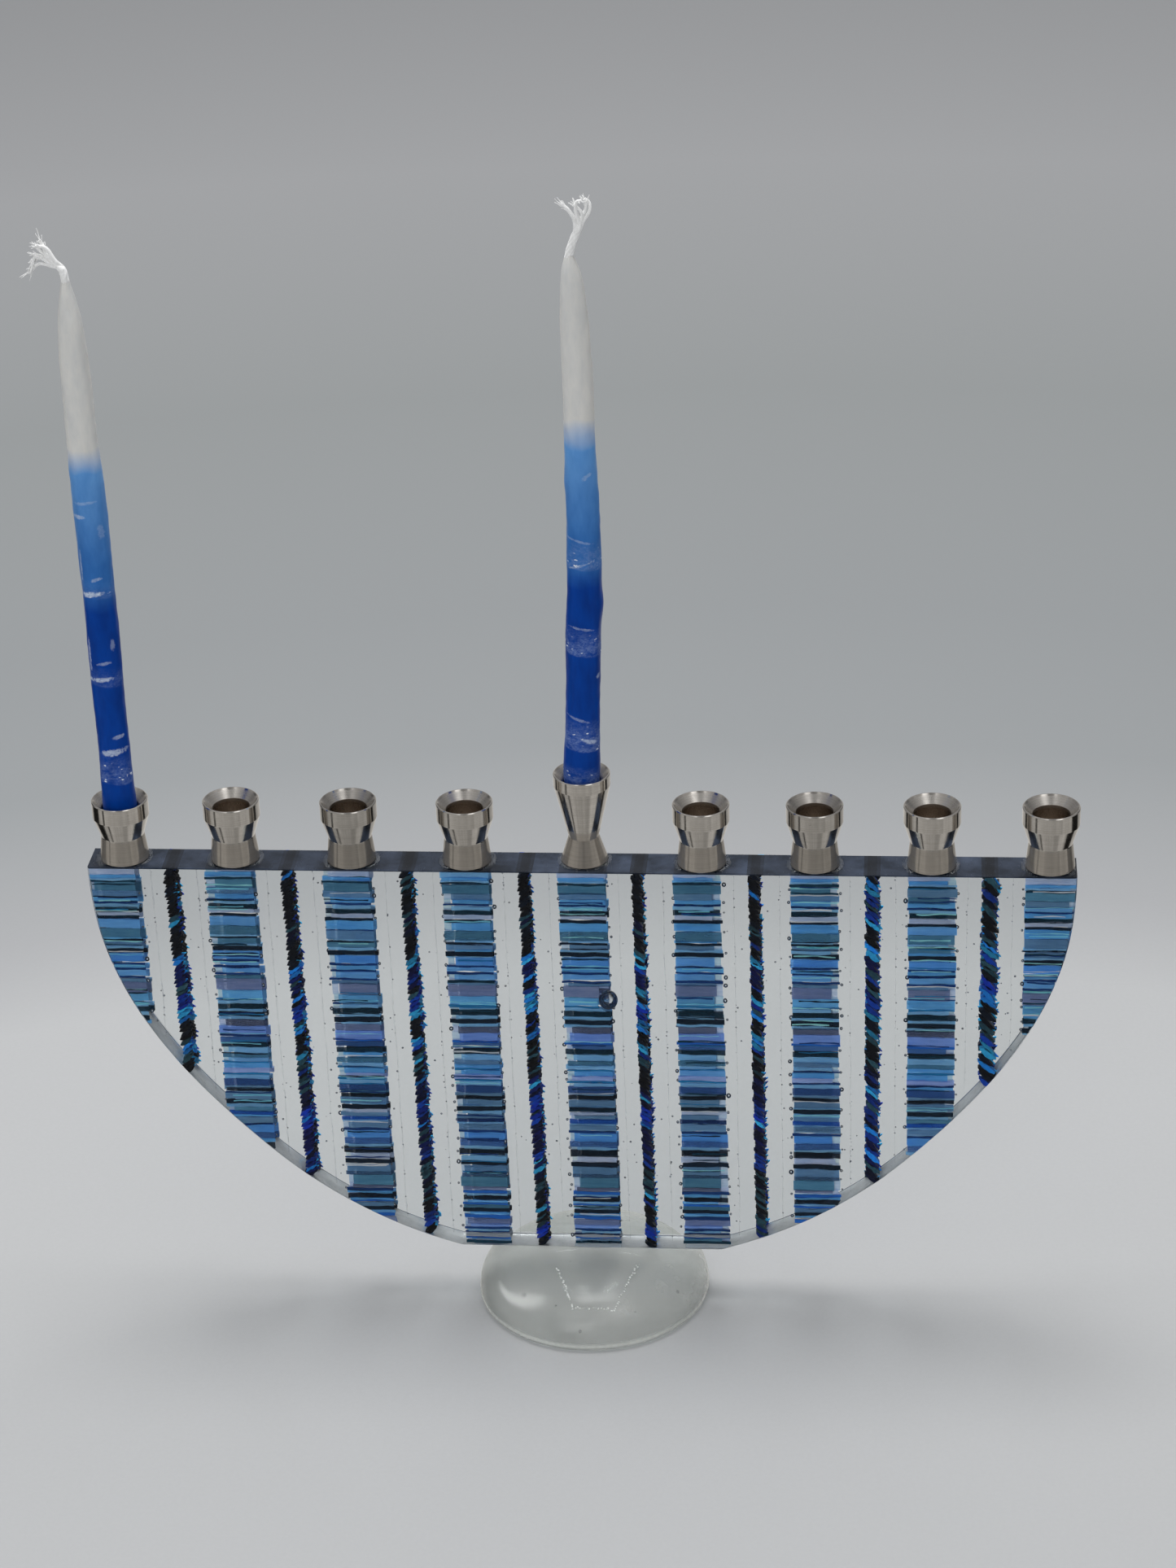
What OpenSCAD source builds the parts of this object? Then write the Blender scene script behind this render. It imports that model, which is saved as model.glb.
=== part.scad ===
// Nine-light menorah: a D-shaped panel of fused glass strips standing on a domed glass foot,
// with nine turned metal candle cups glued along its flat top and two dipped candles.
// Millimetres. +Z is up, +Y is away from the front, the origin is the centre of the foot's flat underside.

/* [Glass panel] */
// width of the panel along its flat top edge
panel_w = 254; // [246:1:262]
// thickness of the panel, front to back
panel_t = 10.8; // [9:0.1:12]
// how much shorter the radius is at the bottom of the curve than at the two top corners
belly_in = 6.8; // [4:0.1:9]
// width of the short flat at the lowest point of the curve
bottom_flat = 70; // [64:1:78]

/* [Coloured strips] */
// width of a broad band of stacked blue strips
band_w = 12.3; // [11:0.1:13]
// width of a narrow twisted dark line
line_w = 3.6; // [2.8:0.1:4.4]
// how far the whole row of strips sits to the right of the middle
row_shift = 0.8; // [0:0.1:1.2]

/* [Foot] */
// diameter of the round domed foot
foot_d = 62.4; // [58:0.2:66]
// height of the panel's lowest point above the table
foot_h = 16; // [14:0.5:18]
// how square the dome's shoulder is: 2 is an ellipse, more is squarer
dome_power = 2.6; // [2.3:0.1:3]

/* [Candle cups] */
// outside diameter of a cup at its rim
rim_d = 14.6; // [14:0.1:15]
// diameter of the candle socket
socket_d = 9.6; // [9.4:0.1:9.8]
// depth of the turned dish that leads into the socket
dish_h = 2.1; // [1.6:0.1:2.4]
// height of a short cup
cup_h = 16.8; // [16:0.1:18]
// diameter of a short cup at its waist
waist_d = 11.2; // [11:0.1:11.8]
// diameter of a short cup at its base
base_d = 12.7; // [12.2:0.1:13.4]
// height of the tall middle cup
tall_cup_h = 24.8; // [23.5:0.1:26]
// diameter of the tall cup at its waist
tall_waist_d = 7.8; // [7:0.1:9]
// thickness of the clear adhesive under each cup
glue_h = 0.4; // [0.3:0.1:0.6]

/* [Candles] */
// length of a candle's wax, from the floor of its socket to the tip
candle_l = 149; // [130:1:160]
// diameter of the middle candle just above its cup
candle_d = 9.3; // [8.8:0.1:9.5]
// length of wick standing out of the wax
wick_l = 13; // [8:1:16]

/* [Hidden] */
$fn = 96;
half_w = panel_w / 2;
low_r = half_w - belly_in;
panel_h = sqrt(low_r * low_r - bottom_flat * bottom_flat / 4);
top_z = foot_h + panel_h;
pitch = (panel_w - 15.6) / 8;
cup_z = top_z + glue_h;
cup_nudge = [-0.2, -1.0, -0.4, -0.2, 0.3, 0.7, -0.2, -0.3, -0.2];
// how far each band and each twisted line was laid from its even place
band_nudge = [-2.1, -1.4, -0.5, 0.6, 0.7, 0.4, 0.4, 0.4, 0.2];
line_nudge = [-1.9, -1.3, 0.0, 0.6, 0.0, 0.1, 0.0, 0.0];
tall_cup_y = 1.5;
socket_floor = 6.6;
tall_floor = 14.2;
wick_r = 0.8;
fit_d = socket_d - 0.5;
foot_glue_w = 24;

// x of the even place of band number n, 1 to 9 from the left: the cups keep to it
function band_x(n) = row_shift + (n - 5) * pitch;

// x of the left and right edges of band n and of twisted line n
function band_left(n) = (n == 1) ? -half_w : band_x(n) + band_nudge[n - 1] - band_w / 2;
function band_right(n) = (n == 9) ? half_w : band_x(n) + band_nudge[n - 1] + band_w / 2;
function line_left(n) = band_x(n) + pitch / 2 + line_nudge[n - 1] - line_w / 2;
function line_right(n) = line_left(n) + line_w;

// x of the middle of the cup that stands over band number n
function cup_x(n) = band_x(n) + 0.5 + cup_nudge[n - 1];

// y of the middle of cup number n: the tall one sits a little further back
function cup_y(n) = (n == 5) ? tall_cup_y : 0.3;

// 0 below a, 1 above b, smooth between them
function ease(v, a, b) =
  let (s = min(1, max(0, (v - a) / (b - a))))
  s * s * (3 - 2 * s);

// distance from the middle of the top edge to the panel's outline, t degrees from straight down
function outline_r(t) = low_r + belly_in * ease(abs(t), 45, 84);

// radius of the dome at angle a up from the table, as a share of its full radius and height
function dome_x(a) = foot_d / 2 * pow(cos(a), 2 / dome_power);
function dome_z(a) = (foot_h - 0.3) * pow(sin(a), 2 / dome_power);

// radius of a dipped candle at share u of its length, with slow swells left by the dipping
function wax_r(u, d, thinning, swells) =
  d / 2 * (1 - thinning * u) * (1 - 0.6 * pow(u, 14)) + 0.1 * sin(360 * swells * u);

module panel_outline() {
  intersection() {
    polygon([for (t = [-90 : 2.5 : 90]) [outline_r(t) * sin(t), top_z - outline_r(t) * cos(t)]]);
    translate([-half_w, foot_h])
      square([panel_w, panel_h]);
  }
}

// the piece of the panel between two x positions, full thickness
module panel_slice(x0, x1) {
  translate([0, panel_t / 2, 0])
    rotate([90, 0, 0])
      linear_extrude(height = panel_t)
        intersection() {
          panel_outline();
          translate([x0, 0])
            square([x1 - x0, top_z]);
        }
}

module band(n) {
  color([0.30, 0.50, 0.70])
    panel_slice(band_left(n), band_right(n));
}

module twist(n) {
  color([0.05, 0.08, 0.28])
    panel_slice(line_left(n), line_right(n));
}

// clear strip number k, 1 to 16: odd ones stand left of a twisted line and even ones right of it
module clear_strip(k) {
  n = ceil(k / 2);
  left = (k % 2 == 1) ? band_right(n) : line_right(n);
  right = (k % 2 == 1) ? line_left(n) : band_left(n + 1);
  color([0.86, 0.90, 0.90])
    panel_slice(left, right);
}

module foot_shape() {
  rotate_extrude()
    polygon(concat(
      [[0, 0], [foot_d / 2 - 0.7, 0]],
      [for (a = [2 : 4 : 86]) [dome_x(a), dome_z(a)]],
      [[0, foot_h - 0.3]]
    ));
}

module glass_foot() {
  color([0.82, 0.87, 0.85])
    foot_shape();
}

module foot_glue() {
  color([0.90, 0.92, 0.92])
    difference() {
      translate([-foot_glue_w / 2, -panel_t / 2, foot_h - 1.4])
        cube([foot_glue_w, panel_t, 1.4]);
      foot_shape();
    }
}

// a flat pad of adhesive, trimmed to the panel's thickness
module cup_glue(n) {
  color([0.90, 0.92, 0.92])
    translate([cup_x(n), 0, top_z])
      intersection() {
        translate([0, cup_y(n), 0])
          cylinder(h = glue_h, d = base_d + 1.2);
        translate([-panel_w, -panel_t / 2, 0])
          cube([2 * panel_w, panel_t, glue_h]);
        translate([-panel_w - cup_x(n), -panel_t / 2, 0])
          cube([panel_w + half_w, panel_t, glue_h]);
      }
}

// a turned cup: cylindrical rim, cone in to the waist, flared base, dished mouth and blind socket
module cup(n, h, rim_band, waist, waist_z, base, floor_z) {
  color([0.62, 0.58, 0.53])
    translate([cup_x(n), cup_y(n), cup_z])
      rotate_extrude()
        polygon([
          [0, 0], [base / 2 - 0.2, 0], [base / 2, 0.2],
          [waist / 2, waist_z],
          [rim_d / 2, h - rim_band], [rim_d / 2, h - 0.2], [rim_d / 2 - 0.2, h],
          [rim_d / 2 - 0.4, h],
          [socket_d / 2, h - dish_h],
          [socket_d / 2, floor_z],
          [0, floor_z]
        ]);
}

module short_cup(n) {
  cup(n, cup_h, 4.5, waist_d, 6.9, base_d, socket_floor);
}

module shamash_cup() {
  cup(5, tall_cup_h, 3.2, tall_waist_d, 7, base_d - 0.6, tall_floor);
}

// a dipped candle with its blunt end in the socket, hollow for the wick
module wax(l, d, thinning, swells) {
  rotate_extrude()
    polygon(concat(
      [[wick_r, 0], [fit_d / 2 - 0.4, 0], [fit_d / 2, 0.6], [fit_d / 2, 8.5]],
      [for (i = [2 : 24]) [wax_r(i / 24, d, thinning, swells), l * i / 24]],
      [[wick_r, l]]
    ));
}

module left_candle() {
  color([0.25, 0.36, 0.70])
    translate([cup_x(1), cup_y(1), cup_z + socket_floor])
      wax(candle_l + 2, candle_d - 0.7, 0.10, 1.6);
}

module shamash_candle() {
  color([0.25, 0.36, 0.70])
    translate([cup_x(5), cup_y(5), cup_z + tall_floor])
      wax(candle_l, candle_d, 0.17, 2.3);
}

// a wick that runs the length of the wax and frays out beyond the tip, leaning by the given angle
module wick(l, lean) {
  color([0.93, 0.93, 0.91]) {
    cylinder(h = l + 1.5, r = wick_r);
    translate([0, 0, l + 1.2])
      sphere(r = wick_r + 0.1);
    translate([0, 0, l + 1.2])
      rotate([0, lean, 0])
        cylinder(h = wick_l - 1.2, r1 = wick_r - 0.1, r2 = wick_r + 1.4);
  }
}

module left_wick() {
  translate([cup_x(1), cup_y(1), cup_z + socket_floor])
    wick(candle_l + 2, -42);
}

module shamash_wick() {
  translate([cup_x(5), cup_y(5), cup_z + tall_floor])
    wick(candle_l, 8);
}

glass_foot();
foot_glue();
band(1);  // blue_band_1
band(2);  // blue_band_2
band(3);  // blue_band_3
band(4);  // blue_band_4
band(5);  // blue_band_5
band(6);  // blue_band_6
band(7);  // blue_band_7
band(8);  // blue_band_8
band(9);  // blue_band_9
twist(1);  // twist_line_1
twist(2);  // twist_line_2
twist(3);  // twist_line_3
twist(4);  // twist_line_4
twist(5);  // twist_line_5
twist(6);  // twist_line_6
twist(7);  // twist_line_7
twist(8);  // twist_line_8
clear_strip(1);  // clear_strip_01
clear_strip(2);  // clear_strip_02
clear_strip(3);  // clear_strip_03
clear_strip(4);  // clear_strip_04
clear_strip(5);  // clear_strip_05
clear_strip(6);  // clear_strip_06
clear_strip(7);  // clear_strip_07
clear_strip(8);  // clear_strip_08
clear_strip(9);  // clear_strip_09
clear_strip(10);  // clear_strip_10
clear_strip(11);  // clear_strip_11
clear_strip(12);  // clear_strip_12
clear_strip(13);  // clear_strip_13
clear_strip(14);  // clear_strip_14
clear_strip(15);  // clear_strip_15
clear_strip(16);  // clear_strip_16
cup_glue(1);  // cup_glue_1
cup_glue(2);  // cup_glue_2
cup_glue(3);  // cup_glue_3
cup_glue(4);  // cup_glue_4
cup_glue(5);  // cup_glue_5
cup_glue(6);  // cup_glue_6
cup_glue(7);  // cup_glue_7
cup_glue(8);  // cup_glue_8
cup_glue(9);  // cup_glue_9
short_cup(1);  // candle_cup_1
short_cup(2);  // candle_cup_2
short_cup(3);  // candle_cup_3
short_cup(4);  // candle_cup_4
shamash_cup();
short_cup(6);  // candle_cup_6
short_cup(7);  // candle_cup_7
short_cup(8);  // candle_cup_8
short_cup(9);  // candle_cup_9
left_candle();
left_wick();
shamash_candle();
shamash_wick();
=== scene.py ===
"""Looks for the nine-light menorah: a fused glass panel on a glass foot, nickel cups and two candles.

Lengths below are in millimetres in the CAD frame and become metres where a mesh is made.
"""

import math
import random

import bmesh
import bpy
import numpy as np
from mathutils import Matrix, Vector, noise


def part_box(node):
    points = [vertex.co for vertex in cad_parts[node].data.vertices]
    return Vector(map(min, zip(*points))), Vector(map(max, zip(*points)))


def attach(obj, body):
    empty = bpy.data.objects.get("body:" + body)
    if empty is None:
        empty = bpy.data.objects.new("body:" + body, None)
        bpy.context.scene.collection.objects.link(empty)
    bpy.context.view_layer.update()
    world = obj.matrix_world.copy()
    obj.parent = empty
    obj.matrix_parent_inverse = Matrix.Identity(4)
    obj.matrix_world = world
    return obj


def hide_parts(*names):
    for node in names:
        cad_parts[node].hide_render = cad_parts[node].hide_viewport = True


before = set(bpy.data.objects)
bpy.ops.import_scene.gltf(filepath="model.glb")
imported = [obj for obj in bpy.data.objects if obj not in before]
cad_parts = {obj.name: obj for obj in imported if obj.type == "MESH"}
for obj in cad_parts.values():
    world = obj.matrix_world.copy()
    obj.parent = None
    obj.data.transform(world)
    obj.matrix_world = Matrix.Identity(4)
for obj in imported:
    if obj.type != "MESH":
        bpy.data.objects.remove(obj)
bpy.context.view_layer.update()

MM = 0.001
WHITE = (1, 1, 1, 1)


def mm_box(node):
    """A CAD node's lowest and highest corners at rest, in millimetres."""
    lo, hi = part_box(node)
    return lo / MM, hi / MM


def middle(node):
    """The x and y of the middle of a CAD node."""
    lo, hi = mm_box(node)
    return (lo.x + hi.x) / 2, (lo.y + hi.y) / 2


def linear(rgb):
    """An 8-bit sRGB colour as linear RGB."""
    return tuple((c / 255 / 12.92) if c <= 10 else ((c / 255 + 0.055) / 1.055) ** 2.4 for c in rgb)


def rgba(c):
    return (*c[:3], 1.0)


def srgb(c):
    return rgba(linear(c))


def ease(v, a, b):
    """0 below a, 1 above b, smooth between them."""
    s = min(1.0, max(0.0, (v - a) / (b - a)))
    return s * s * (3 - 2 * s)


def turn(s, segs):
    """The angle of point number s on a ring."""
    return 2 * math.pi * s / segs


# ---------------------------------------------------------------- sizes taken from the CAD

middle_lo, middle_hi = mm_box("blue_band_5")
TOP_Z = middle_hi.z
FOOT_Z = middle_lo.z
FRONT_Y = middle_lo.y
BACK_Y = middle_hi.y
HALF_W = mm_box("blue_band_9")[1].x
# how much shorter the outline's radius is at the bottom of the curve than at the top corners
BELLY = 6.8
LOW_R = HALF_W - BELLY
FOOT_R = mm_box("glass_foot")[1].x
FOOT_TOP = mm_box("glass_foot")[1].z
DOME_POWER = 2.6


def dome_z(r):
    """Height of the foot's dome at a distance r from its axis."""
    return FOOT_TOP * (1 - (r / FOOT_R) ** DOME_POWER) ** (1 / DOME_POWER)


def outline_points(count=240):
    """The curved outline from the top left corner round to the top right one, as (x, z)."""
    left, right = [], []
    for k in range(count + 1):
        t = -90 + 180 * k / count
        r = LOW_R + BELLY * ease(abs(t), 45, 84)
        x, z = r * math.sin(math.radians(t)), TOP_Z - r * math.cos(math.radians(t))
        if z > FOOT_Z + 1e-6:
            (left if x < 0 else right).append((x, z))
    edge = math.sqrt(LOW_R ** 2 - (TOP_Z - FOOT_Z) ** 2)
    return left + [(-edge, FOOT_Z), (edge, FOOT_Z)] + right


OUTLINE = outline_points()
RIGHT_X, RIGHT_Z = zip(*[p for p in OUTLINE if p[0] > 0])


def half_width_at(z):
    """Half the panel's width at height z."""
    return float(np.interp(z, RIGHT_Z, RIGHT_X))


def lowest_at(x):
    """The height of the panel's lower outline at x."""
    return float(np.interp(abs(x), RIGHT_X, RIGHT_Z, left=FOOT_Z))


# ---------------------------------------------------------------- mesh building


class Builder:
    """Collects closed shells, in millimetres, with a tint for each face."""

    def __init__(self):
        self.verts, self.faces, self.tints, self.slots, self.smooth = [], [], [], [], []

    def face(self, corners, tint=WHITE, slot=0, smooth=False):
        self.faces.append(list(corners))
        self.tints.append(tint)
        self.slots.append(slot)
        self.smooth.append(smooth)

    def add(self, verts, faces, tint=WHITE, slot=0, smooth=False):
        base = len(self.verts)
        self.verts += [tuple(v) for v in verts]
        for f in faces:
            self.face([base + i for i in f], tint, slot, smooth)

    def make(self, name, materials, body, slot, replaces=()):
        mesh = bpy.data.meshes.new(name)
        mesh.from_pydata([(x * MM, y * MM, z * MM) for x, y, z in self.verts], [], self.faces)
        layer = mesh.attributes.new("tint", "FLOAT_COLOR", "CORNER")
        colours = [c for f, t in zip(self.faces, self.tints) for _ in f for c in t]
        layer.data.foreach_set("color", colours)
        mesh.polygons.foreach_set("material_index", self.slots)
        mesh.polygons.foreach_set("use_smooth", self.smooth)
        for m in materials:
            mesh.materials.append(m)
        mesh.update()
        obj = bpy.data.objects.new(name, mesh)
        bpy.context.scene.collection.objects.link(obj)
        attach(obj, body)
        if replaces:
            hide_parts(*replaces)
        return obj


def ring_faces(rings, segs, closed_ends=True):
    """Faces that join rings of points one after the other."""
    faces = []
    for r in range(rings - 1):
        for s in range(segs):
            a, b = r * segs + s, r * segs + (s + 1) % segs
            faces.append((a, b, b + segs, a + segs))
    if closed_ends:
        faces.append(tuple(reversed(range(segs))))
        faces.append(tuple(range((rings - 1) * segs, rings * segs)))
    return faces


def tube(b, path, radius, segs):
    """A closed tube along a path of points; radius is a function of 0..1."""
    path = [Vector(p) for p in path]
    verts = []
    side = Vector((0, 1, 0))
    for k, p in enumerate(path):
        ahead = (path[min(k + 1, len(path) - 1)] - path[max(k - 1, 0)]).normalized()
        side = (side - ahead * side.dot(ahead)).normalized()
        up = ahead.cross(side)
        r = radius(k / (len(path) - 1))
        for s in range(segs):
            a = turn(s, segs)
            verts.append(p + (side * math.cos(a) + up * math.sin(a)) * r)
    b.add(verts, ring_faces(len(path), segs), smooth=True)


def spline(points, per):
    """Catmull-Rom points through a few control points."""
    p = [Vector(points[0])] + [Vector(q) for q in points] + [Vector(points[-1])]
    out = []
    for i in range(1, len(p) - 2):
        a, b, c, d = p[i - 1:i + 3]
        for k in range(per):
            t = k / per
            cubic = (3 * b - a - 3 * c + d) * t ** 3
            out.append(0.5 * (2 * b + (c - a) * t + (2 * a - 5 * b + 4 * c - d) * t * t + cubic))
    out.append(p[-2])
    return out


def make_ball(level):
    bm = bmesh.new()
    bmesh.ops.create_icosphere(bm, subdivisions=level, radius=1)
    bm.verts.ensure_lookup_table()
    ball = [v.co.copy() for v in bm.verts], [[v.index for v in f.verts] for f in bm.faces]
    bm.free()
    return ball


BALLS = {level: make_ball(level) for level in (1, 2, 3, 4)}


def bubble(b, centre, r, stretch=(1, 1, 1), fine=2):
    """A small closed sphere, a little squashed or drawn out."""
    verts, faces = BALLS[fine]
    sx, sy, sz = stretch
    c = Vector(centre)
    b.add([c + Vector((v.x * sx, v.y * sy, v.z * sz)) * r for v in verts], faces, smooth=True)


# ---------------------------------------------------------------- materials


class Nodes:
    """A small helper round one node tree."""

    def __init__(self, owner, output):
        owner.use_nodes = True
        self.t = owner.node_tree
        self.t.nodes.clear()
        self.out = self.t.nodes.new(output)

    def node(self, kind, props=None, **inputs):
        n = self.t.nodes.new("ShaderNode" + kind)
        for k, v in (props or {}).items():
            setattr(n, k, v)
        for k, v in inputs.items():
            key = int(k[1:]) if k[0] == "i" and k[1:].isdigit() else k.replace("_", " ")
            self.set(n, key, v)
        return n

    def set(self, n, key, v):
        socket = n.inputs[key]
        if isinstance(v, bpy.types.NodeSocket):
            self.t.links.new(v, socket)
        else:
            socket.default_value = v

    def place(self):
        return self.node("TexCoord").outputs["Object"]

    def noise(self, scale, detail=3, rough=0.5, stretch=(1, 1, 1)):
        where = self.node("Mapping", Vector=self.place(), Scale=stretch).outputs[0]
        return self.node("TexNoise", Vector=where, Scale=scale, Detail=detail, Roughness=rough).outputs["Fac"]

    def flat_noise(self, x, y, scale):
        """A two-dimensional noise over the two values given."""
        where = self.node("CombineXYZ", X=x, Y=y).outputs[0]
        return self.node("TexNoise", {"noise_dimensions": "2D"}, Vector=where, Scale=scale,
                         Detail=2.0).outputs["Fac"]

    def ramp(self, fac, stops):
        r = self.node("ValToRGB", Fac=fac)
        e = r.color_ramp.elements
        while len(e) < len(stops):
            e.new(0.5)
        for k, (position, colour) in enumerate(stops):
            e[k].position = position
            e[k].color = rgba(colour)
        return r.outputs[0]

    def map(self, v, a, b, c, d):
        """The value v, with a..b stretched to c..d and held at the ends."""
        return self.node("MapRange", Value=v, From_Min=a, From_Max=b, To_Min=c, To_Max=d).outputs[0]

    def map_mm(self, v, a, b, c, d):
        """The same, for a length, with a and b in millimetres."""
        return self.map(v, a * MM, b * MM, c, d)

    def math(self, op, a, b=0.0):
        return self.node("Math", {"operation": op}, i0=a, i1=b).outputs[0]

    def times(self, a, b):
        return self.math("MULTIPLY", a, b)

    def plus(self, a, b):
        return self.math("ADD", a, b)

    def minus(self, a, b):
        return self.math("SUBTRACT", a, b)

    def most(self, a, b):
        return self.math("MAXIMUM", a, b)

    def mix(self, fac, a, b, blend="MIX"):
        n = self.node("Mix", {"data_type": "RGBA", "blend_type": blend})
        self.set(n, 0, fac)
        self.set(n, 6, a)
        self.set(n, 7, b)
        return n.outputs[2]

    def two_tone(self, fac, a, b, low=0.35, high=0.7):
        """From one sRGB colour to another as a noise goes from low to high."""
        return self.mix(self.map(fac, low, high, 0, 1), srgb(a), srgb(b))

    def bump(self, height, strength, distance):
        return self.node("Bump", Height=height, Strength=strength, Distance=distance).outputs[0]

    def bsdf(self, kind, **inputs):
        return self.node("Bsdf" + kind, **inputs).outputs[0]

    def blend(self, fac, first, second):
        return self.node("MixShader", i0=fac, i1=first, i2=second).outputs[0]

    def shadow_ray(self):
        return self.node("LightPath").outputs["Is Shadow Ray"]


class Mat(Nodes):
    """One material and its nodes."""

    def __init__(self, name):
        self.m = bpy.data.materials.new(name)
        super().__init__(self.m, "ShaderNodeOutputMaterial")

    def finish(self, shader):
        self.t.links.new(shader, self.out.inputs["Surface"])
        return self.m

    def finish_lit(self, shader, passing):
        """The shader, with light for shadows let through it in the colour given."""
        clear = self.bsdf("Transparent", Color=rgba(passing))
        return self.finish(self.blend(self.shadow_ray(), shader, clear))


def clear_glass():
    """Glass that light passes through to what is inside it."""
    k = Mat("clear_panel_glass")
    clear = (0.885, 0.91, 0.906)
    speck = k.noise(900, 2)
    colour = k.mix(k.map(speck, 0.3, 0.7, 0, 1), rgba([c * 0.985 for c in clear]), rgba(clear))
    rough = k.map(k.noise(300), 0.3, 0.8, 0, 0.02)
    glass = k.bsdf("Principled", Base_Color=colour, Roughness=rough, IOR=1.5, Transmission_Weight=1.0,
                   Specular_Tint=(0.3, 0.3, 0.3, 1.0), Normal=k.bump(k.noise(60, 2), 0.04, 0.0004))
    return k.finish_lit(glass, (0.86, 0.88, 0.89))


def strip_glass():
    """Coloured glass inside the panel. Each face has its own colour and cover, with streaks and clouds."""
    k = Mat("blue_strip_glass")
    tint = k.node("Attribute", {"attribute_name": "tint"})
    streak = k.noise(700, 4, 0.6, (0.18, 1, 1.6))
    cloud = k.noise(260, 3, 0.55)
    grain = k.noise(2600, 2)
    c = k.mix(k.map(streak, 0.3, 0.75, 0.0, 0.8), tint.outputs["Color"], rgba((0.62, 0.76, 0.90)), "MULTIPLY")
    c = k.mix(k.map(cloud, 0.35, 0.75, 0.0, 0.7), c, rgba((1.25, 1.12, 1.05)), "MULTIPLY")
    c = k.mix(k.map(grain, 0.64, 0.8, 0.0, 0.45), c, rgba((0.35, 0.45, 0.6)), "MULTIPLY")
    body = k.bsdf("Principled", Base_Color=c, Roughness=k.map(cloud, 0.3, 0.8, 0.4, 0.6), IOR=1.45,
                  Specular_IOR_Level=0.12, Normal=k.bump(streak, 0.12, 0.0001))
    through = k.bsdf("Transparent", Color=k.mix(0.55, rgba((1, 1, 1)), tint.outputs["Color"]))
    cover = k.times(tint.outputs["Alpha"], k.map(streak, 0.25, 0.75, 1.05, 0.9))
    return k.finish(k.blend(cover, through, body))


def cane_glass():
    """The dense glass of a twisted cane, with paler flecks."""
    k = Mat("twisted_cane_glass")
    tint = k.node("Attribute", {"attribute_name": "tint"})
    fleck = k.noise(1300, 3, 0.6)
    c = k.mix(k.map(fleck, 0.4, 0.8, 0, 1.0), tint.outputs["Color"], rgba((0.35, 0.5, 0.75)), "MULTIPLY")
    return k.finish(k.bsdf("Principled", Base_Color=c, Roughness=k.map(fleck, 0.3, 0.7, 0.35, 0.6), IOR=1.5,
                           Specular_IOR_Level=0.12, Normal=k.bump(fleck, 0.3, 0.0002)))


def nickel(name, lo, hi, floor_z, waist_z, tone):
    """Turned satin nickel: fine rings from the lathe, small dull patches, and a darker brown socket."""
    k = Mat(name)
    bore_r = 4.8
    lip_r = (hi.x - lo.x) / 2
    axis = ((lo.x + hi.x) / 2 * MM, (lo.y + hi.y) / 2 * MM, 0)
    centred = k.node("VectorMath", {"operation": "SUBTRACT"}, i0=k.place(), i1=axis).outputs[0]
    parts = k.node("SeparateXYZ", Vector=centred).outputs
    flat = k.node("CombineXYZ", X=parts["X"], Y=parts["Y"]).outputs[0]
    radius = k.node("VectorMath", {"operation": "LENGTH"}, i0=flat).outputs["Value"]
    z = parts["Z"]
    rings = k.flat_noise(z, radius, 4200.0)
    patch = k.noise(420, 4, 0.6)
    grime = k.noise(900, 4, 0.65)
    in_bore = k.times(k.map_mm(radius, bore_r - 0.15, bore_r + 0.12, 1, 0),
                      k.map_mm(z, floor_z - 0.3, floor_z, 0, 1))
    in_dish = k.times(k.map_mm(radius, lip_r - 0.9, lip_r - 0.6, 1, 0),
                      k.map_mm(z, hi.z - 3.0, hi.z - 2.6, 0, 1))
    below_waist = k.map_mm(z, waist_z - 0.3, waist_z + 0.3, 1, 0)
    c = k.mix(k.map(patch, 0.35, 0.75, 0, 0.5), rgba((0.82, 0.79, 0.745)), rgba((0.66, 0.63, 0.585)))
    c = k.mix(k.map(rings, 0.4, 0.7, 0, 0.35), c, rgba((0.56, 0.53, 0.48)))
    c = k.mix(k.map(grime, 0.66, 0.8, 0, 0.5), c, rgba((0.16, 0.13, 0.10)))
    c = k.mix(below_waist, c, rgba((0.60, 0.575, 0.54)), "MULTIPLY")
    c = k.mix(1.0, c, rgba((tone, tone * 0.995, tone)), "MULTIPLY")
    c = k.mix(in_bore, c, rgba((0.38, 0.31, 0.25)))
    rough = k.plus(k.map(patch, 0.3, 0.75, 0.08, 0.19), k.times(in_bore, 0.3))
    rough = k.plus(rough, k.times(in_dish, 0.16))
    # the flared foot is darker and less metallic than the rest
    metal = k.map(below_waist, 0, 1, 1.0, 0.66)
    return k.finish(k.bsdf("Principled", Base_Color=c, Metallic=metal, Roughness=rough,
                           Normal=k.bump(rings, 0.10, 0.00006)))


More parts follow.
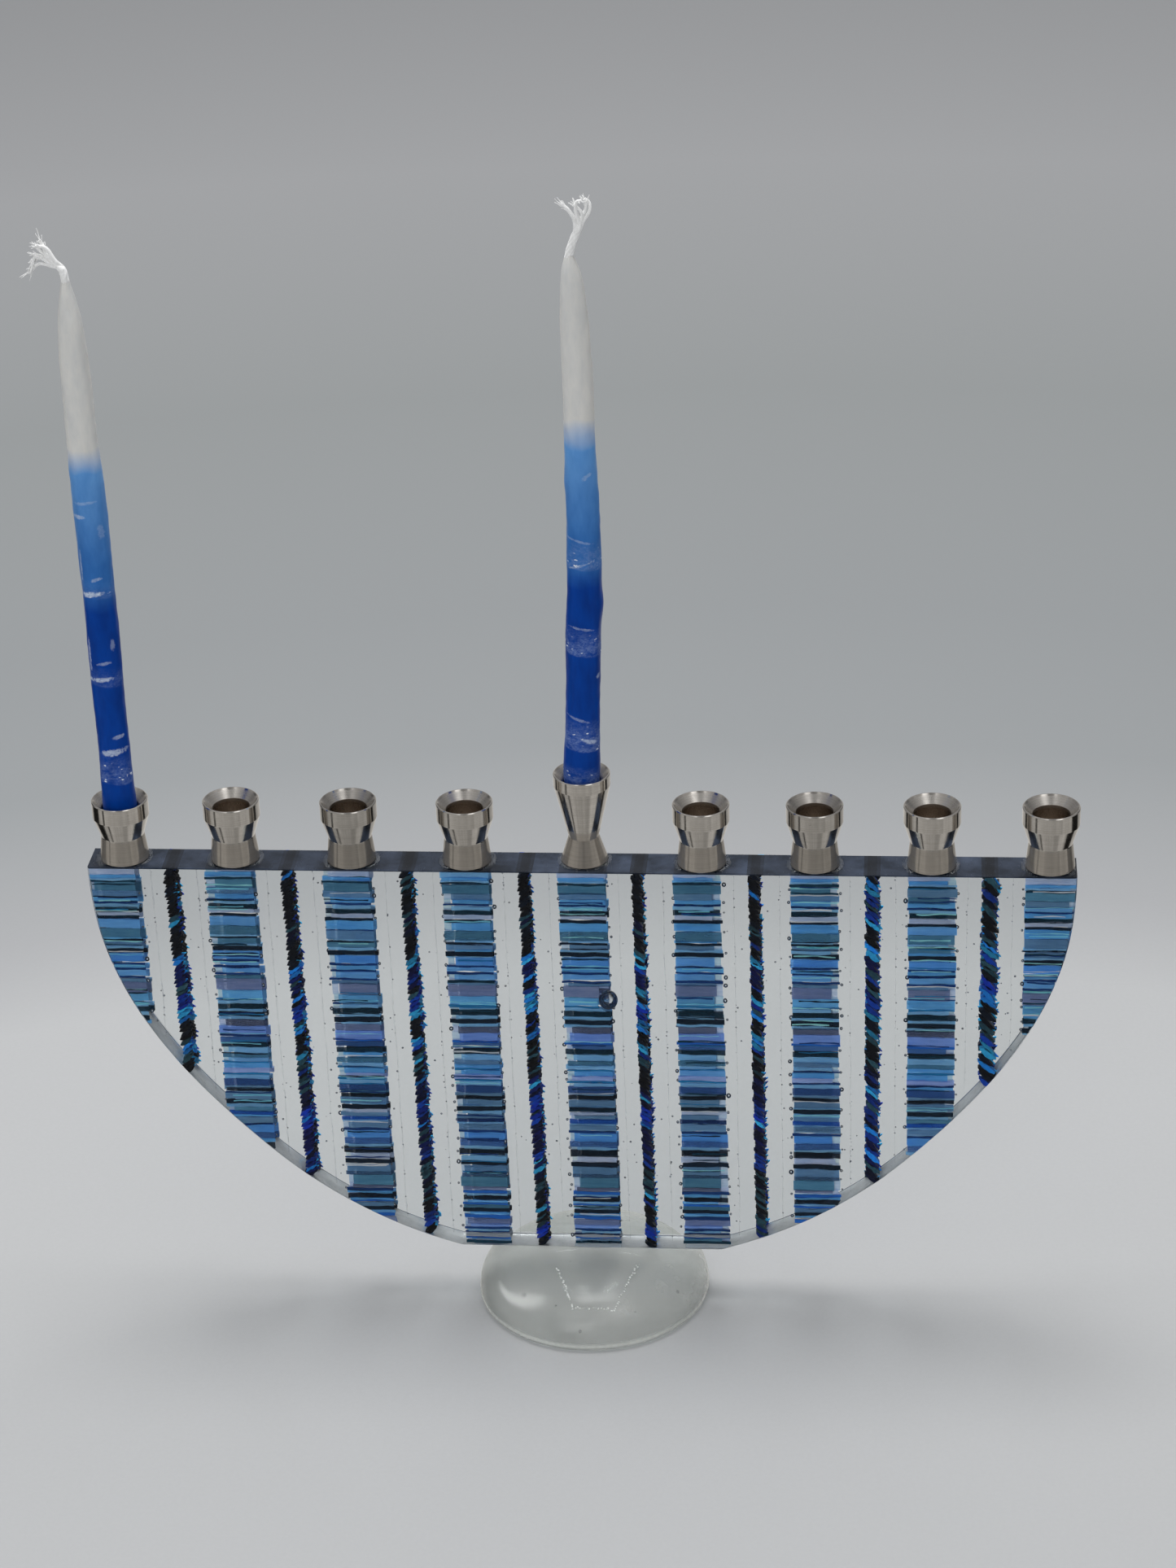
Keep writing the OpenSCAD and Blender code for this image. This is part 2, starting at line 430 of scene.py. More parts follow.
def wax(name, axis_x, white_z, blue_z, scuffs, frost_marks_and_highlights):
    """Dipped wax: white at the top, light blue, then dark blue, with frosted scuffs in the bands given.

    Each scuff is its lowest and highest z and a strength. Each mark is a small frosted ellipse on the front,
    or, where it is long and narrow at an edge, a painted highlight: height, offset from the axis, half
    height, half width, tilt, strength.
    """
    k = Mat(name)
    where = k.node("SeparateXYZ", Vector=k.place()).outputs
    height = k.plus(where["Z"], k.map(k.noise(110, 2), 0.2, 0.8, -0.0016, 0.0016))
    swirl = k.noise(330, 4, 0.6, (1, 1, 0.35))
    grit = k.noise(1500, 5, 0.75, (1, 1, 1.6))
    white = k.two_tone(swirl, (220, 219, 215), (207, 208, 207))
    pale = k.two_tone(swirl, (106, 162, 222), (90, 148, 212))
    light = k.two_tone(swirl, (54, 114, 186), (42, 100, 172))
    dark = k.two_tone(swirl, (0, 64, 156), (0, 53, 136))
    c = k.mix(k.map_mm(height, blue_z - 4.5, blue_z + 2.6, 0, 1), dark, light)
    c = k.mix(k.map_mm(height, blue_z + 8, white_z - 2.5, 0, 1), c, pale)
    c = k.mix(k.map_mm(height, white_z - 3.2, white_z + 3.6, 0, 1), c, white)
    slope = 0.12
    tilted = k.plus(where["Z"], k.times(where["X"], slope))
    frost = 0.0
    for lo, hi, amount in scuffs:
        start = lo + axis_x * slope
        rise = k.map_mm(tilted, start, start + 0.5, 0, amount)
        fall = k.map_mm(tilted, start + (hi - lo) * 0.35, start + (hi - lo), 1, 0)
        frost = k.most(frost, k.times(rise, fall))
    frost = k.times(frost, k.map(k.noise(300, 4, 0.7, (1, 1, 2)), 0.36, 0.58, 0.1, 1))
    c = k.mix(k.times(frost, k.map(grit, 0.36, 0.66, 0.08, 0.7)), c, srgb((140, 162, 206)))
    across = k.minus(where["X"], axis_x * MM)
    ragged = k.map(k.noise(800, 4, 0.75), 0.3, 0.7, -0.8, 0.75)
    in_front = k.map_mm(where["Y"], -0.5, 0.5, 1, 0)
    # frosted spots, and painted highlights where a mark is long and narrow at an edge
    for z, offset, half_z, half_x, lean, amount in frost_marks_and_highlights:
        u = k.minus(across, offset * MM)
        v = k.minus(k.minus(where["Z"], z * MM), k.times(u, lean))
        u, v = k.times(u, 1 / (half_x * MM)), k.times(v, 1 / (half_z * MM))
        reach = k.plus(k.plus(k.times(u, u), k.times(v, v)), ragged)
        spot = k.times(k.map(reach, 0.4, 1.15, amount, 0), in_front)
        c = k.mix(k.times(spot, k.map(grit, 0.3, 0.6, 0.35, 1.0)), c, srgb((206, 218, 236)))
    speckle = k.map(k.noise(520, 2, 0.5, (1, 1, 2.4)), 0.655, 0.685, 0, 1)
    c = k.mix(k.times(k.map(frost, 0.25, 0.5, 0, 1), speckle), c, srgb((228, 236, 246)))
    rough = k.plus(k.map(swirl, 0.3, 0.7, 0.30, 0.42), k.times(frost, 0.25))
    relief = k.plus(k.noise(260), k.times(grit, 0.25))
    return k.finish(k.bsdf("Principled", Base_Color=c, Roughness=rough, IOR=1.44, Specular_IOR_Level=0.14,
                           Subsurface_Weight=0.08, Subsurface_Radius=(0.6, 0.8, 1.0), Subsurface_Scale=0.001,
                           Normal=k.bump(relief, 0.25, 0.0003)))


def cotton():
    """Bright loose cotton fibre."""
    k = Mat("cotton_wick_fibre")
    fibre = k.noise(2200, 4, 0.7, (1, 1, 0.3))
    return k.finish(k.bsdf("Principled", Base_Color=k.two_tone(fibre, (232, 232, 230), (255, 255, 255), 0.3),
                           Roughness=k.map(fibre, 0.3, 0.7, 0.75, 0.95), Sheen_Weight=0.8,
                           Normal=k.bump(fibre, 0.5, 0.0002)))


def top_glass():
    """The ground top edge of the panel, its dark colour a painted shade for the view down into the strips
    below it.
    """
    k = Mat("panel_top_edge_glass")
    tint = k.node("Attribute", {"attribute_name": "tint"})
    cloud = k.noise(120, 3, 0.6)
    fine = k.noise(900, 3, 0.6, (1, 0.3, 1))
    c = k.two_tone(cloud, (24, 32, 43), (54, 63, 78))
    # the tint carries each column's painted shade
    c = k.mix(0.9, c, tint.outputs["Color"], "MULTIPLY")
    c = k.mix(k.map(fine, 0.6, 0.8, 0, 0.4), c, srgb((44, 52, 66)))
    body = k.bsdf("Principled", Base_Color=c, Roughness=k.map(fine, 0.3, 0.7, 0.16, 0.3), IOR=1.5,
                  Specular_IOR_Level=0.36, Normal=k.bump(cloud, 0.08, 0.0003))
    return k.finish_lit(body, (0.75, 0.8, 0.85))


def seam_glass():
    """The faint haze where two clear strips have fused."""
    k = Mat("seam_haze")
    n = k.noise(500, 3, 0.7, (1, 1, 0.4))
    c = k.mix(n, srgb((196, 198, 197)), srgb((236, 237, 236)))
    body = k.bsdf("Principled", Base_Color=c, Roughness=0.6)
    through = k.bsdf("Transparent", Color=rgba((0.985, 0.985, 0.985)))
    return k.finish(k.blend(k.map(n, 0.42, 0.72, 0.0, 0.22), through, body))


def bubble_glass(name, painted_rim):
    """A gas bubble in the glass: bent light inside and a painted dark rim, shade put where the real bubble's
    edge turns the light away.
    """
    k = Mat(name)
    n = k.noise(900, 2)
    glass = k.bsdf("Glass", Color=k.mix(n, rgba((0.96, 0.97, 0.98)), rgba((0.86, 0.88, 0.9))), Roughness=0.02,
                   IOR=1 / 1.5)
    dark = k.bsdf("Principled", Base_Color=k.mix(n, srgb((38, 46, 58)), srgb((60, 68, 80))), Roughness=0.3)
    # painted shade: the rim darkens as the surface turns away from the eye
    edge = k.node("LayerWeight", Blend=0.5).outputs["Facing"]
    return k.finish(k.blend(k.map(edge, 0.12, 0.34, 0.0, painted_rim), glass, dark))


def adhesive():
    """Clear glue: thin enough that most of what is under it shows straight through."""
    k = Mat("clear_adhesive_glass")
    wob = k.noise(420, 3, 0.6)
    c = k.mix(k.map(wob, 0.35, 0.7, 0, 1), rgba((0.80, 0.84, 0.88)), rgba((0.93, 0.95, 0.97)))
    glass = k.bsdf("Glass", Color=c, Roughness=0.06, IOR=1.45, Normal=k.bump(wob, 0.28, 0.0004))
    straight = k.bsdf("Transparent", Color=rgba((0.93, 0.94, 0.95)))
    share = k.most(k.shadow_ray(), k.map(wob, 0.3, 0.7, 0.88, 0.76))
    return k.finish(k.blend(share, glass, straight))


def ground_edge():
    """The panel's cut edge: polished, but not quite clear."""
    k = Mat("panel_cut_edge_glass")
    cloud = k.noise(140, 3, 0.6)
    fine = k.noise(1200, 3, 0.6)
    c = k.two_tone(cloud, (204, 207, 208), (222, 225, 225))
    c = k.mix(k.map(fine, 0.6, 0.8, 0, 0.3), c, srgb((176, 180, 182)))
    dull = k.bsdf("Principled", Base_Color=c, Roughness=k.map(fine, 0.3, 0.7, 0.25, 0.4),
                  Specular_IOR_Level=0.3, Normal=k.bump(cloud, 0.1, 0.0003))
    glass = k.bsdf("Glass", Color=c, Roughness=0.08, IOR=1.5)
    return k.finish_lit(k.blend(k.map(cloud, 0.3, 0.7, 0.62, 0.78), glass, dull), (0.85, 0.87, 0.88))


def foot_glass():
    """Pressed glass with a haze in it: part clear, part cloudy."""
    k = Mat("foot_glass")
    cloud = k.noise(40)
    fine = k.noise(700, 3, 0.6)
    c = k.two_tone(cloud, (160, 163, 159), (206, 207, 203))
    c = k.mix(k.map(fine, 0.62, 0.8, 0, 0.12), c, rgba((1, 1, 1)))
    # painted highlight: a thin bright line a little above the floor, where the pressed edge would catch the
    # light, over a painted dark line of shade at the floor
    z = k.node("SeparateXYZ", Vector=k.place()).outputs["Z"]
    painted_rim = k.times(k.map_mm(z, 1.0, 1.4, 0, 1), k.map_mm(z, 1.9, 2.8, 1, 0))
    c = k.mix(painted_rim, c, srgb((218, 221, 216)))
    c = k.mix(k.map_mm(z, 0.5, 0.9, 0.7, 0), c, srgb((96, 100, 98)))
    normal = k.bump(cloud, 0.2, 0.0008)
    rough = k.map(fine, 0.3, 0.7, 0.22, 0.34)
    haze = k.bsdf("Principled", Base_Color=c, Roughness=rough, IOR=1.5, Normal=normal)
    glass = k.bsdf("Glass", Color=rgba((0.935, 0.945, 0.938)), Roughness=0.2, IOR=1.5, Normal=normal)
    haziness = k.plus(k.map(cloud, 0.3, 0.7, 0.23, 0.37), k.times(painted_rim, 0.4))
    return k.finish_lit(k.blend(haziness, glass, haze), (0.6, 0.615, 0.615))


def dried_glue():
    """Dried adhesive with air in it."""
    k = Mat("dried_adhesive")
    n = k.noise(1500)
    return k.finish(k.bsdf("Principled", Base_Color=k.two_tone(n, (214, 216, 214), (240, 241, 240)),
                           Roughness=k.map(n, 0.3, 0.7, 0.3, 0.5), Normal=k.bump(n, 0.2, 0.0001)))


def ground_base_painted_light():
    """The flat underside of the foot, ground to a white matt; its white is also painted light for the light
    the dome gathers under itself.
    """
    k = Mat("foot_ground_base")
    cloud = k.noise(90, 3, 0.6)
    fine = k.noise(1400)
    matt = k.bsdf("Principled", Base_Color=k.two_tone(cloud, (214, 215, 213), (236, 237, 235), 0.3),
                  Roughness=k.map(fine, 0.3, 0.7, 0.6, 0.85), Normal=k.bump(fine, 0.2, 0.0001))
    through = k.bsdf("Transparent", Color=rgba((0.9, 0.91, 0.91)))
    return k.finish(k.blend(k.map(cloud, 0.3, 0.7, 0.6, 0.45), through, matt))


GLUE_GLASS = adhesive()
BUBBLE = bubble_glass("seed_bubble", 0.95)
STRIP = strip_glass()
CANE = cane_glass()
COTTON = cotton()

# ---------------------------------------------------------------- the clear panel

CANE_X = [middle(f"twist_line_{n}")[0] for n in range(1, 9)]
BAND_X = [tuple(corner.x for corner in mm_box(f"blue_band_{n}")) for n in range(1, 10)]
# width of the softened edge all round the panel
ARRIS = 0.35
CANE_HALF, CANE_EDGE = 1.2, 2.1


def outline_normals():
    """The direction into the panel at each point of its outline."""
    normals = []
    for k in range(len(OUTLINE)):
        ax, az = OUTLINE[max(k - 1, 0)]
        bx, bz = OUTLINE[min(k + 1, len(OUTLINE) - 1)]
        dx, dz = bx - ax, bz - az
        length = math.hypot(dx, dz)
        normals.append((-dz / length, dx / length))
    return normals


def painted_top_shade(x, rng):
    """The painted shade of the top edge at x: darkest over a cane, darker over a band, uneven over clear
    glass.
    """
    near = min(abs(x - cane) for cane in CANE_X)
    if near < CANE_HALF:
        return 0.32
    if near < CANE_EDGE:
        return 0.6
    if any(x0 < x < x1 for x0, x1 in BAND_X):
        return 0.86
    return rng.uniform(0.9, 1.7)


def make_panel():
    """One closed slab with softened edges. Its top is built in columns, so that each keeps its own painted
    shade.
    """
    b = Builder()
    n = len(OUTLINE)
    rng = random.Random(5)
    # each ring runs along the curve from left to right and back along the top
    top_xs = {round(c + s * w, 3) for c in CANE_X for s in (-1, 1) for w in (CANE_HALF, CANE_EDGE)}
    top_xs |= {round(x, 3) for pair in BAND_X for x in pair if abs(x) < HALF_W - 1}
    profile = [(ARRIS, FRONT_Y), (ARRIS * 0.3, FRONT_Y + ARRIS * 0.3), (0, FRONT_Y + ARRIS),
               (0, BACK_Y - ARRIS), (ARRIS * 0.3, BACK_Y - ARRIS * 0.3), (ARRIS, BACK_Y)]
    for inset, y in profile:
        for k, ((x, z), (nx, nz)) in enumerate(zip(OUTLINE, outline_normals())):
            if k in (0, n - 1):
                b.verts.append((x + (inset if k == 0 else -inset), y, z - inset))
            else:
                b.verts.append((x + nx * inset, y, z + nz * inset))
        b.verts += [(x, y, TOP_Z - inset) for x in sorted(top_xs, reverse=True)]
    segs = n + len(top_xs)
    last = (len(profile) - 1) * segs
    for r in range(len(profile) - 1):
        side_wall = r == 2
        for s in range(segs):
            a, c = r * segs + s, r * segs + (s + 1) % segs
            on_top = s >= n - 1
            shade = painted_top_shade((b.verts[a][0] + b.verts[c][0]) / 2, rng) if on_top else 1.0
            slot = 1 if on_top else (2 if side_wall else 0)
            b.face([a, a + segs, c + segs, c], (shade, shade * 1.01, shade * 1.06, 1), slot, not on_top)
    b.face(range(segs))
    b.face(reversed(range(last, last + segs)))
    panel = b.make("panel_glass", [clear_glass(), top_glass(), ground_edge()], "stand", "clear_glass",
                   [f"clear_strip_{k:02d}" for k in range(1, 17)])
    # the two big faces stay flat, whatever the edge next to them does
    rims = {frozenset((base + s, base + (s + 1) % segs)) for base in (0, last) for s in range(segs)}
    for e in panel.data.edges:
        if frozenset(e.vertices) in rims:
            e.use_edge_sharp = True


make_panel()

# ---------------------------------------------------------------- coloured strips


def glow(c):
    """How much a strip's colour is lifted: painted light for the light that pale strips let through, more
    than dark ones.
    """
    return 2.05 if sum(c) > 380 else (2.1 if sum(c) > 230 else 1.0)


COLOURS = {name: tuple(v * w * glow(c) for v, w in zip(linear(c), (1.08, 1.03, 1.0))) for name, c in {
    "smoke": (156, 164, 170), "sky": (92, 158, 198), "lsky": (134, 186, 218), "lblue": (112, 172, 214),
    "corn": (84, 146, 194), "sky2": (92, 150, 182), "steal": (68, 114, 138), "slate": (88, 124, 152),
    "sblue": (58, 96, 142), "dslate": (52, 82, 110), "teal": (22, 92, 132), "dteal": (10, 58, 80),
    "navy": (20, 64, 126), "black": (8, 34, 54), "plum": (76, 86, 110), "mauve": (104, 118, 148),
    "lilac": (144, 162, 196), "peri": (116, 148, 196), "royal": (24, 80, 150), "rslate": (40, 76, 124),
    "pale": (186, 200, 220), "grey": (146, 152, 158),
}.items()}
# from the top of the panel down: where a strip starts and ends, its colour, and its kind:
# w a wash through the panel, l a thin line at the front, b a block deep in the panel, k a bar through it
SEQUENCE = [
    (0.0, 1.9, "pale", "w"), (1.9, 2.8, "sky", "w"), (2.8, 3.4, "lsky", "w"), (3.4, 4.0, "dteal", "l"),
    (4.0, 6.4, "steal", "w"), (6.4, 8.2, "slate", "w"), (8.2, 9.7, "sky", "w"), (9.7, 10.3, "navy", "l"),
    (10.3, 11.4, "lsky", "w"), (11.4, 12.8, "dteal", "b"), (12.8, 14.0, "pale", "w"),
    (14.1, 14.9, "black", "l"), (15.0, 17.6, "sky", "w"), (17.7, 20.4, "steal", "b"),
    (21.0, 21.5, "black", "l"), (21.5, 23.0, "slate", "w"), (23.8, 25.1, "black", "k"),
    (25.4, 27.8, "corn", "w"), (27.9, 28.4, "navy", "l"), (28.4, 29.6, "sky", "w"), (29.6, 30.2, "navy", "l"),
    (30.2, 32.0, "lblue", "w"), (32.1, 32.7, "navy", "l"), (32.8, 33.7, "slate", "w"),
    (33.7, 37.0, "mauve", "w"), (37.1, 39.6, "sky2", "w"), (39.7, 40.1, "teal", "l"),
    (40.2, 41.1, "lsky", "w"), (41.2, 42.8, "dteal", "b"), (43.8, 45.2, "black", "k"),
    (46.1, 48.0, "plum", "w"), (48.0, 50.6, "peri", "w"), (50.7, 51.3, "royal", "l"),
    (51.4, 52.8, "sblue", "w"), (53.0, 54.5, "dteal", "b"), (54.6, 56.3, "lsky", "w"),
    (56.4, 57.7, "steal", "b"), (57.8, 59.0, "lsky", "w"), (59.0, 59.4, "teal", "l"),
    (59.4, 61.0, "sky", "w"), (61.0, 62.5, "lilac", "w"), (62.6, 63.1, "teal", "l"),
    (63.1, 64.3, "lsky", "w"), (64.4, 66.4, "rslate", "b"), (66.4, 67.2, "slate", "w"),
    (67.2, 68.4, "black", "b"), (68.5, 70.4, "slate", "w"), (70.8, 72.1, "black", "k"),
    (72.2, 73.2, "pale", "w"), (73.2, 74.4, "slate", "w"), (74.5, 75.7, "royal", "b"),
    (76.2, 78.1, "slate", "w"), (78.2, 78.8, "navy", "l"), (78.8, 81.2, "corn", "w"),
    (81.3, 83.1, "sblue", "b"), (84.1, 86.1, "black", "b"), (86.2, 87.9, "pale", "w"),
    (88.0, 89.2, "black", "k"), (89.4, 91.8, "slate", "w"), (91.9, 92.9, "dslate", "b"),
    (92.9, 95.9, "steal", "w"), (96.0, 97.1, "plum", "w"), (97.2, 98.1, "royal", "l"),
    (98.9, 100.3, "black", "b"), (100.4, 101.1, "lsky", "w"), (101.2, 101.7, "royal", "l"),
    (101.8, 102.9, "slate", "w"), (103.0, 104.1, "black", "k"), (104.2, 105.0, "sky", "w"),
    (105.1, 106.1, "royal", "l"), (106.2, 107.9, "mauve", "w"), (107.9, 108.9, "peri", "w"),
    (109.0, 109.6, "navy", "l"), (109.7, 110.4, "lsky", "w"), (110.4, 110.8, "navy", "l"),
    (110.8, 111.9, "grey", "w"), (111.9, 112.3, "royal", "l"), (112.3, 113.1, "slate", "w"),
    (113.1, 113.9, "dteal", "k"), (113.9, 115.0, "smoke", "w"),
]
# what a strip's colour may change to from band to band
NEIGHBOURS = {
    "sky": "lblue", "lsky": "sky", "steal": "slate", "slate": "steal", "corn": "lblue", "mauve": "slate",
    "plum": "mauve", "pale": "lsky", "royal": "navy", "teal": "navy", "sblue": "rslate", "peri": "lilac",
}
# a strip near the back face looks this much higher than one at the front face, to an eye above the panel
DEPTH_RISE = 2.9
# half the width that the strips may take up
SIDE_X = HALF_W - 0.3
# the front and back of each layer of strips
FINE_LAYER = (FRONT_Y + 0.12, FRONT_Y + 0.27)
FRONT_LAYER = (FRONT_Y + 0.30, FRONT_Y + 0.75)
LINE_LAYER = (FRONT_Y + 0.85, FRONT_Y + 1.15)
UNDER_LAYER = (FRONT_Y + 1.25, FRONT_Y + 1.5)
BACK_LAYER = (BACK_Y - 2.0, BACK_Y - 0.5)
# distance between a strip's points, how far it waves, and how far it stays inside the panel's curved edge
STEP = 1.4
WAVE = 0.16
MARGIN = 0.35
# how far a band, and a cane, leans to the right on its way down, and how much lower a band's strips sit
BAND_LEAN = (0.6, 0.6, 0.95, 1.15, 0.8, 0.7, 0.3, 0.0, -0.2)
CANE_LEAN = (0.9, 0.7, 0.8, 0.95, 0.8, 0.7, -0.1, -0.4)
BAND_SHIFT = (0.4, -0.9, 0.1, 0.2, 0.0, -0.5, -0.4, -0.2, 0.6)
# how far the deep strips stop short of a band's outer side
OUTER_FRINGE = 2.2
# the one large bubble, at the right side of the middle band, and the room the strips leave for it
BUBBLE_X, BUBBLE_Z, BUBBLE_ROOM = middle_hi.x - 0.8, TOP_Z - 38.6, 2.75

for (_, end, _, _), (start, _, _, _) in list(zip(SEQUENCE, SEQUENCE[1:])):
    if start - end > 0.25:
        SEQUENCE.append((end, start, "lsky", "w"))


def lean_at(lean, z):
    """How far to the right a leaning strip stands at height z."""
    return lean * (0.5 - (z - FOOT_Z) / (TOP_Z - FOOT_Z))


def strip(b, x0, x1, z0, z1, layer, tint, rng, round_bubble=False):
    """One wavy strip, a closed shell, cut off at the panel's curved edge."""
    zc = (z0 + z1) / 2
    lim = half_width_at(zc) - MARGIN
    z1 = min(z1, TOP_Z - 0.25)
    if zc < FOOT_Z + 0.3 or z1 - z0 < 0.12 or min(x1, lim) - max(x0, -lim) < 0.5:
        return
    count = max(3, int((x1 - x0) / STEP))
    seed = rng.uniform(0, 900)
    keep = []
    for k in range(count + 1):
        x = x0 + (x1 - x0) * k / count
        lift = WAVE * noise.noise((x * 0.22, seed, 1.3)) * 2
        swell = 0.5 * WAVE * noise.noise((x * 0.4, seed, 7.7)) * 2
        top = min(z1 + lift + swell, TOP_Z - 0.2)
        bottom = min(z0 + lift - swell, top - 0.1)
        four = []
        for y, z in ((layer[0], bottom), (layer[1], bottom), (layer[1], top), (layer[0], top)):
            z = max(z, FOOT_Z + 0.2)
            lim = half_width_at(z) - MARGIN
            if round_bubble and abs(z - BUBBLE_Z) < BUBBLE_ROOM:
                x = min(x, BUBBLE_X - math.sqrt(BUBBLE_ROOM ** 2 - (z - BUBBLE_Z) ** 2))
            four.append((min(max(x, -lim), lim), y, z))
        # points pushed together at the curved edge are dropped, so no face is flat
        if not keep or any(abs(four[i][0] - keep[-1][i][0]) >= 0.05 for i in (0, 2)):
            keep.append(four)
    if len(keep) > 1:
        b.add([v for four in keep for v in four], ring_faces(len(keep), 4), tint)


class Band:
    """One broad band: where it stands, its random numbers and the mesh that its strips go into."""

    def __init__(self, n):
        self.n = n
        self.rng = random.Random(40 + n)
        self.node = f"blue_band_{n}"
        self.lo, self.hi = mm_box(self.node)
        self.b = Builder()
        # the outer side of the band, where the deep strips stop short, is its left up to the middle band
        self.outer_left = n <= 5
        fringe = OUTER_FRINGE * self.rng.uniform(0.85, 1.15)
        self.deep_x0 = self.lo.x + (fringe if self.outer_left else 0.15)
        self.deep_x1 = self.hi.x - (0.15 if self.outer_left else fringe)

    def put(self, x0, x1, z0, z1, layer, colour, cover):
        room = self.n == 5 and layer != BACK_LAYER
        strip(self.b, x0, x1, z0, z1, layer, (*colour, cover), self.rng, room)

    def ends(self, z, cut0=0.0, cut1=0.0):
        """A strip's left and right ends at height z, each cut back by the length given."""
        lean = lean_at(BAND_LEAN[self.n - 1], z)
        return max(self.lo.x + cut0 + lean, -SIDE_X), min(self.hi.x - cut1 + lean, SIDE_X)

    def pick_colour(self, name):
        if self.n != 5 and self.rng.random() < 0.2:
            name = NEIGHBOURS.get(name, name)
        c = COLOURS[name]
        bright = min(self.rng.uniform(0.88, 1.1), 1 / max(c))
        return tuple(v * bright for v in c)

    def thin_lines(self, c, x0, x1, bottom, top, tall):
        """Darker and lighter threads inside a wash."""
        uniform = self.rng.uniform
        for _ in range(1 + int(tall)):
            at = uniform(bottom + 0.1, top - 0.35)
            if self.rng.random() < 0.55:
                line = tuple(v * uniform(0.15, 0.55) for v in c)
            else:
                lift = uniform(0.12, 0.4)
                line = tuple(min(1, v * 0.9 + lift * w) for v, w in zip(c, (0.75, 0.92, 1.12)))
            left, right = x0 + uniform(0, 1.5), x1 - uniform(0, 1.5)
            self.put(left, right, at, at + uniform(0.16, 0.34), LINE_LAYER, line, 0.7)

    def add_strip(self, t0, t1, name, kind):
        """One entry of the sequence, in as many layers as its kind has."""
        uniform = self.rng.uniform
        shift = BAND_SHIFT[self.n - 1] + uniform(-0.18, 0.18)
        grow = uniform(-0.1, 0.12)
        c = self.pick_colour(name)
        airy = max(c) > 0.6
        top, bottom = TOP_Z - t0 - shift, TOP_Z - t1 - shift - grow
        ragged0, ragged1 = uniform(-0.2, 0.35), uniform(-0.2, 0.35)
        inner0, inner1 = uniform(-0.1, 0.5), uniform(-0.1, 0.5)
        lean = lean_at(BAND_LEAN[self.n - 1], (top + bottom) / 2)
        x0, x1 = self.ends((top + bottom) / 2, ragged0, ragged1)
        deep_x0, deep_x1 = self.deep_x0 + (inner0 + lean), self.deep_x1 - (inner1 - lean)
        # under the fringe the strips lie close together, so a soft pale layer closes the gaps
        pale = tuple(min(1, v * 0.3 + w * 0.6) for v, w in zip(c, COLOURS["pale"]))
        edges = (x0 + 0.2, deep_x0) if self.outer_left else (deep_x1, x1 - 0.2)
        self.put(*edges, bottom - 0.2, top + 0.2, UNDER_LAYER, pale, 0.42)
        if kind in "lk":
            self.put(x0 - 0.1, x1 + 0.1, bottom, top, FRONT_LAYER, c, 0.95)
        if kind == "w":
            if self.rng.random() < 0.5:
                # this wash stops short of the fringe too
                if self.outer_left:
                    x0 = self.deep_x0 - uniform(-0.2, 0.9)
                else:
                    x1 = self.deep_x1 + uniform(-0.2, 0.9)
            cover = uniform(0.46, 0.7) * (0.78 if airy else 1)
            self.put(x0, x1, bottom - 0.03, top + 0.03, FRONT_LAYER, c, cover)
        if kind in "wbk":
            cover = (0.7 if airy else 0.92) if kind == "w" else 0.97
            low, high = bottom - DEPTH_RISE, top - DEPTH_RISE
            self.put(deep_x0 - 0.2, deep_x1 + 0.2, low, high, BACK_LAYER, c, cover)
        if kind == "b":
            self.put(x0, x1, bottom, top, FRONT_LAYER, c, 0.42)
        if kind == "w" and t1 - t0 > 0.85:
            self.thin_lines(c, x0, x1, bottom, top, t1 - t0)

    def fine_lines(self):
        """Fine lines all the way across, close to the front face."""
        uniform = self.rng.uniform
        low = max(lowest_at(self.lo.x), lowest_at(self.hi.x), FOOT_Z) + 1
        if self.n in (1, 9):
            low = lowest_at(self.hi.x if self.n == 1 else self.lo.x) + 1
        for _ in range(22):
            z = uniform(low, TOP_Z - 3.2)
            c = COLOURS[self.rng.choice(["black", "dteal", "navy", "teal", "lsky", "pale", "lsky", "lblue"])]
            cut0, cut1 = (uniform(0, 3) if self.rng.random() < 0.4 else 0 for _ in range(2))
            x0, x1 = self.ends(z)
            top = z + uniform(0.18, 0.42)
            cover = 0.5 if sum(c) > 0.8 else uniform(0.75, 0.95)
            self.put(x0 + cut0, x1 - cut1, z, top, FINE_LAYER, tuple(min(1, v) for v in c), cover)


for band_number in range(1, 10):
    band = Band(band_number)
    for row in SEQUENCE:
        band.add_strip(*row)
    band.fine_lines()
    band.b.make(f"{band.node}_layers", [STRIP], "stand", "blue_glass", [band.node])

# ---------------------------------------------------------------- twisted canes

CANE_COLOURS = {name: linear(c) for name, c in {
    "ink": (3, 16, 32), "night": (6, 18, 58), "violet": (12, 20, 84), "navy": (8, 30, 96),
    "cobalt": (14, 66, 166), "royal": (16, 56, 176), "azure": (34, 144, 232), "cyan": (58, 186, 236),
    "moss": (46, 84, 96), "black": (4, 10, 22),
}.items()}
# from the top down: the length of a run, and the colours its leaves are drawn from
CANE_RUNS = [
    (14, "ink black"), (5, "night ink moss"), (6, "ink black"), (2.2, "cyan azure"), (5, "navy violet"),
    (2.4, "moss ink"), (3.4, "royal cobalt"), (2.6, "cyan azure"), (5.5, "ink black"), (1.6, "azure cyan"),
    (9, "black ink moss"), (7, "night navy"), (5.5, "cobalt royal"), (9, "violet night"),
    (4.5, "cobalt navy"), (11, "ink night moss"), (7, "black moss ink"), (4, "royal cobalt"),
    (7.5, "black ink"), (5, "azure moss"),
]
CANE_WIDTH = (3.0, 2.9, 2.9, 2.9, 2.8, 3.0, 3.6, 4.2)
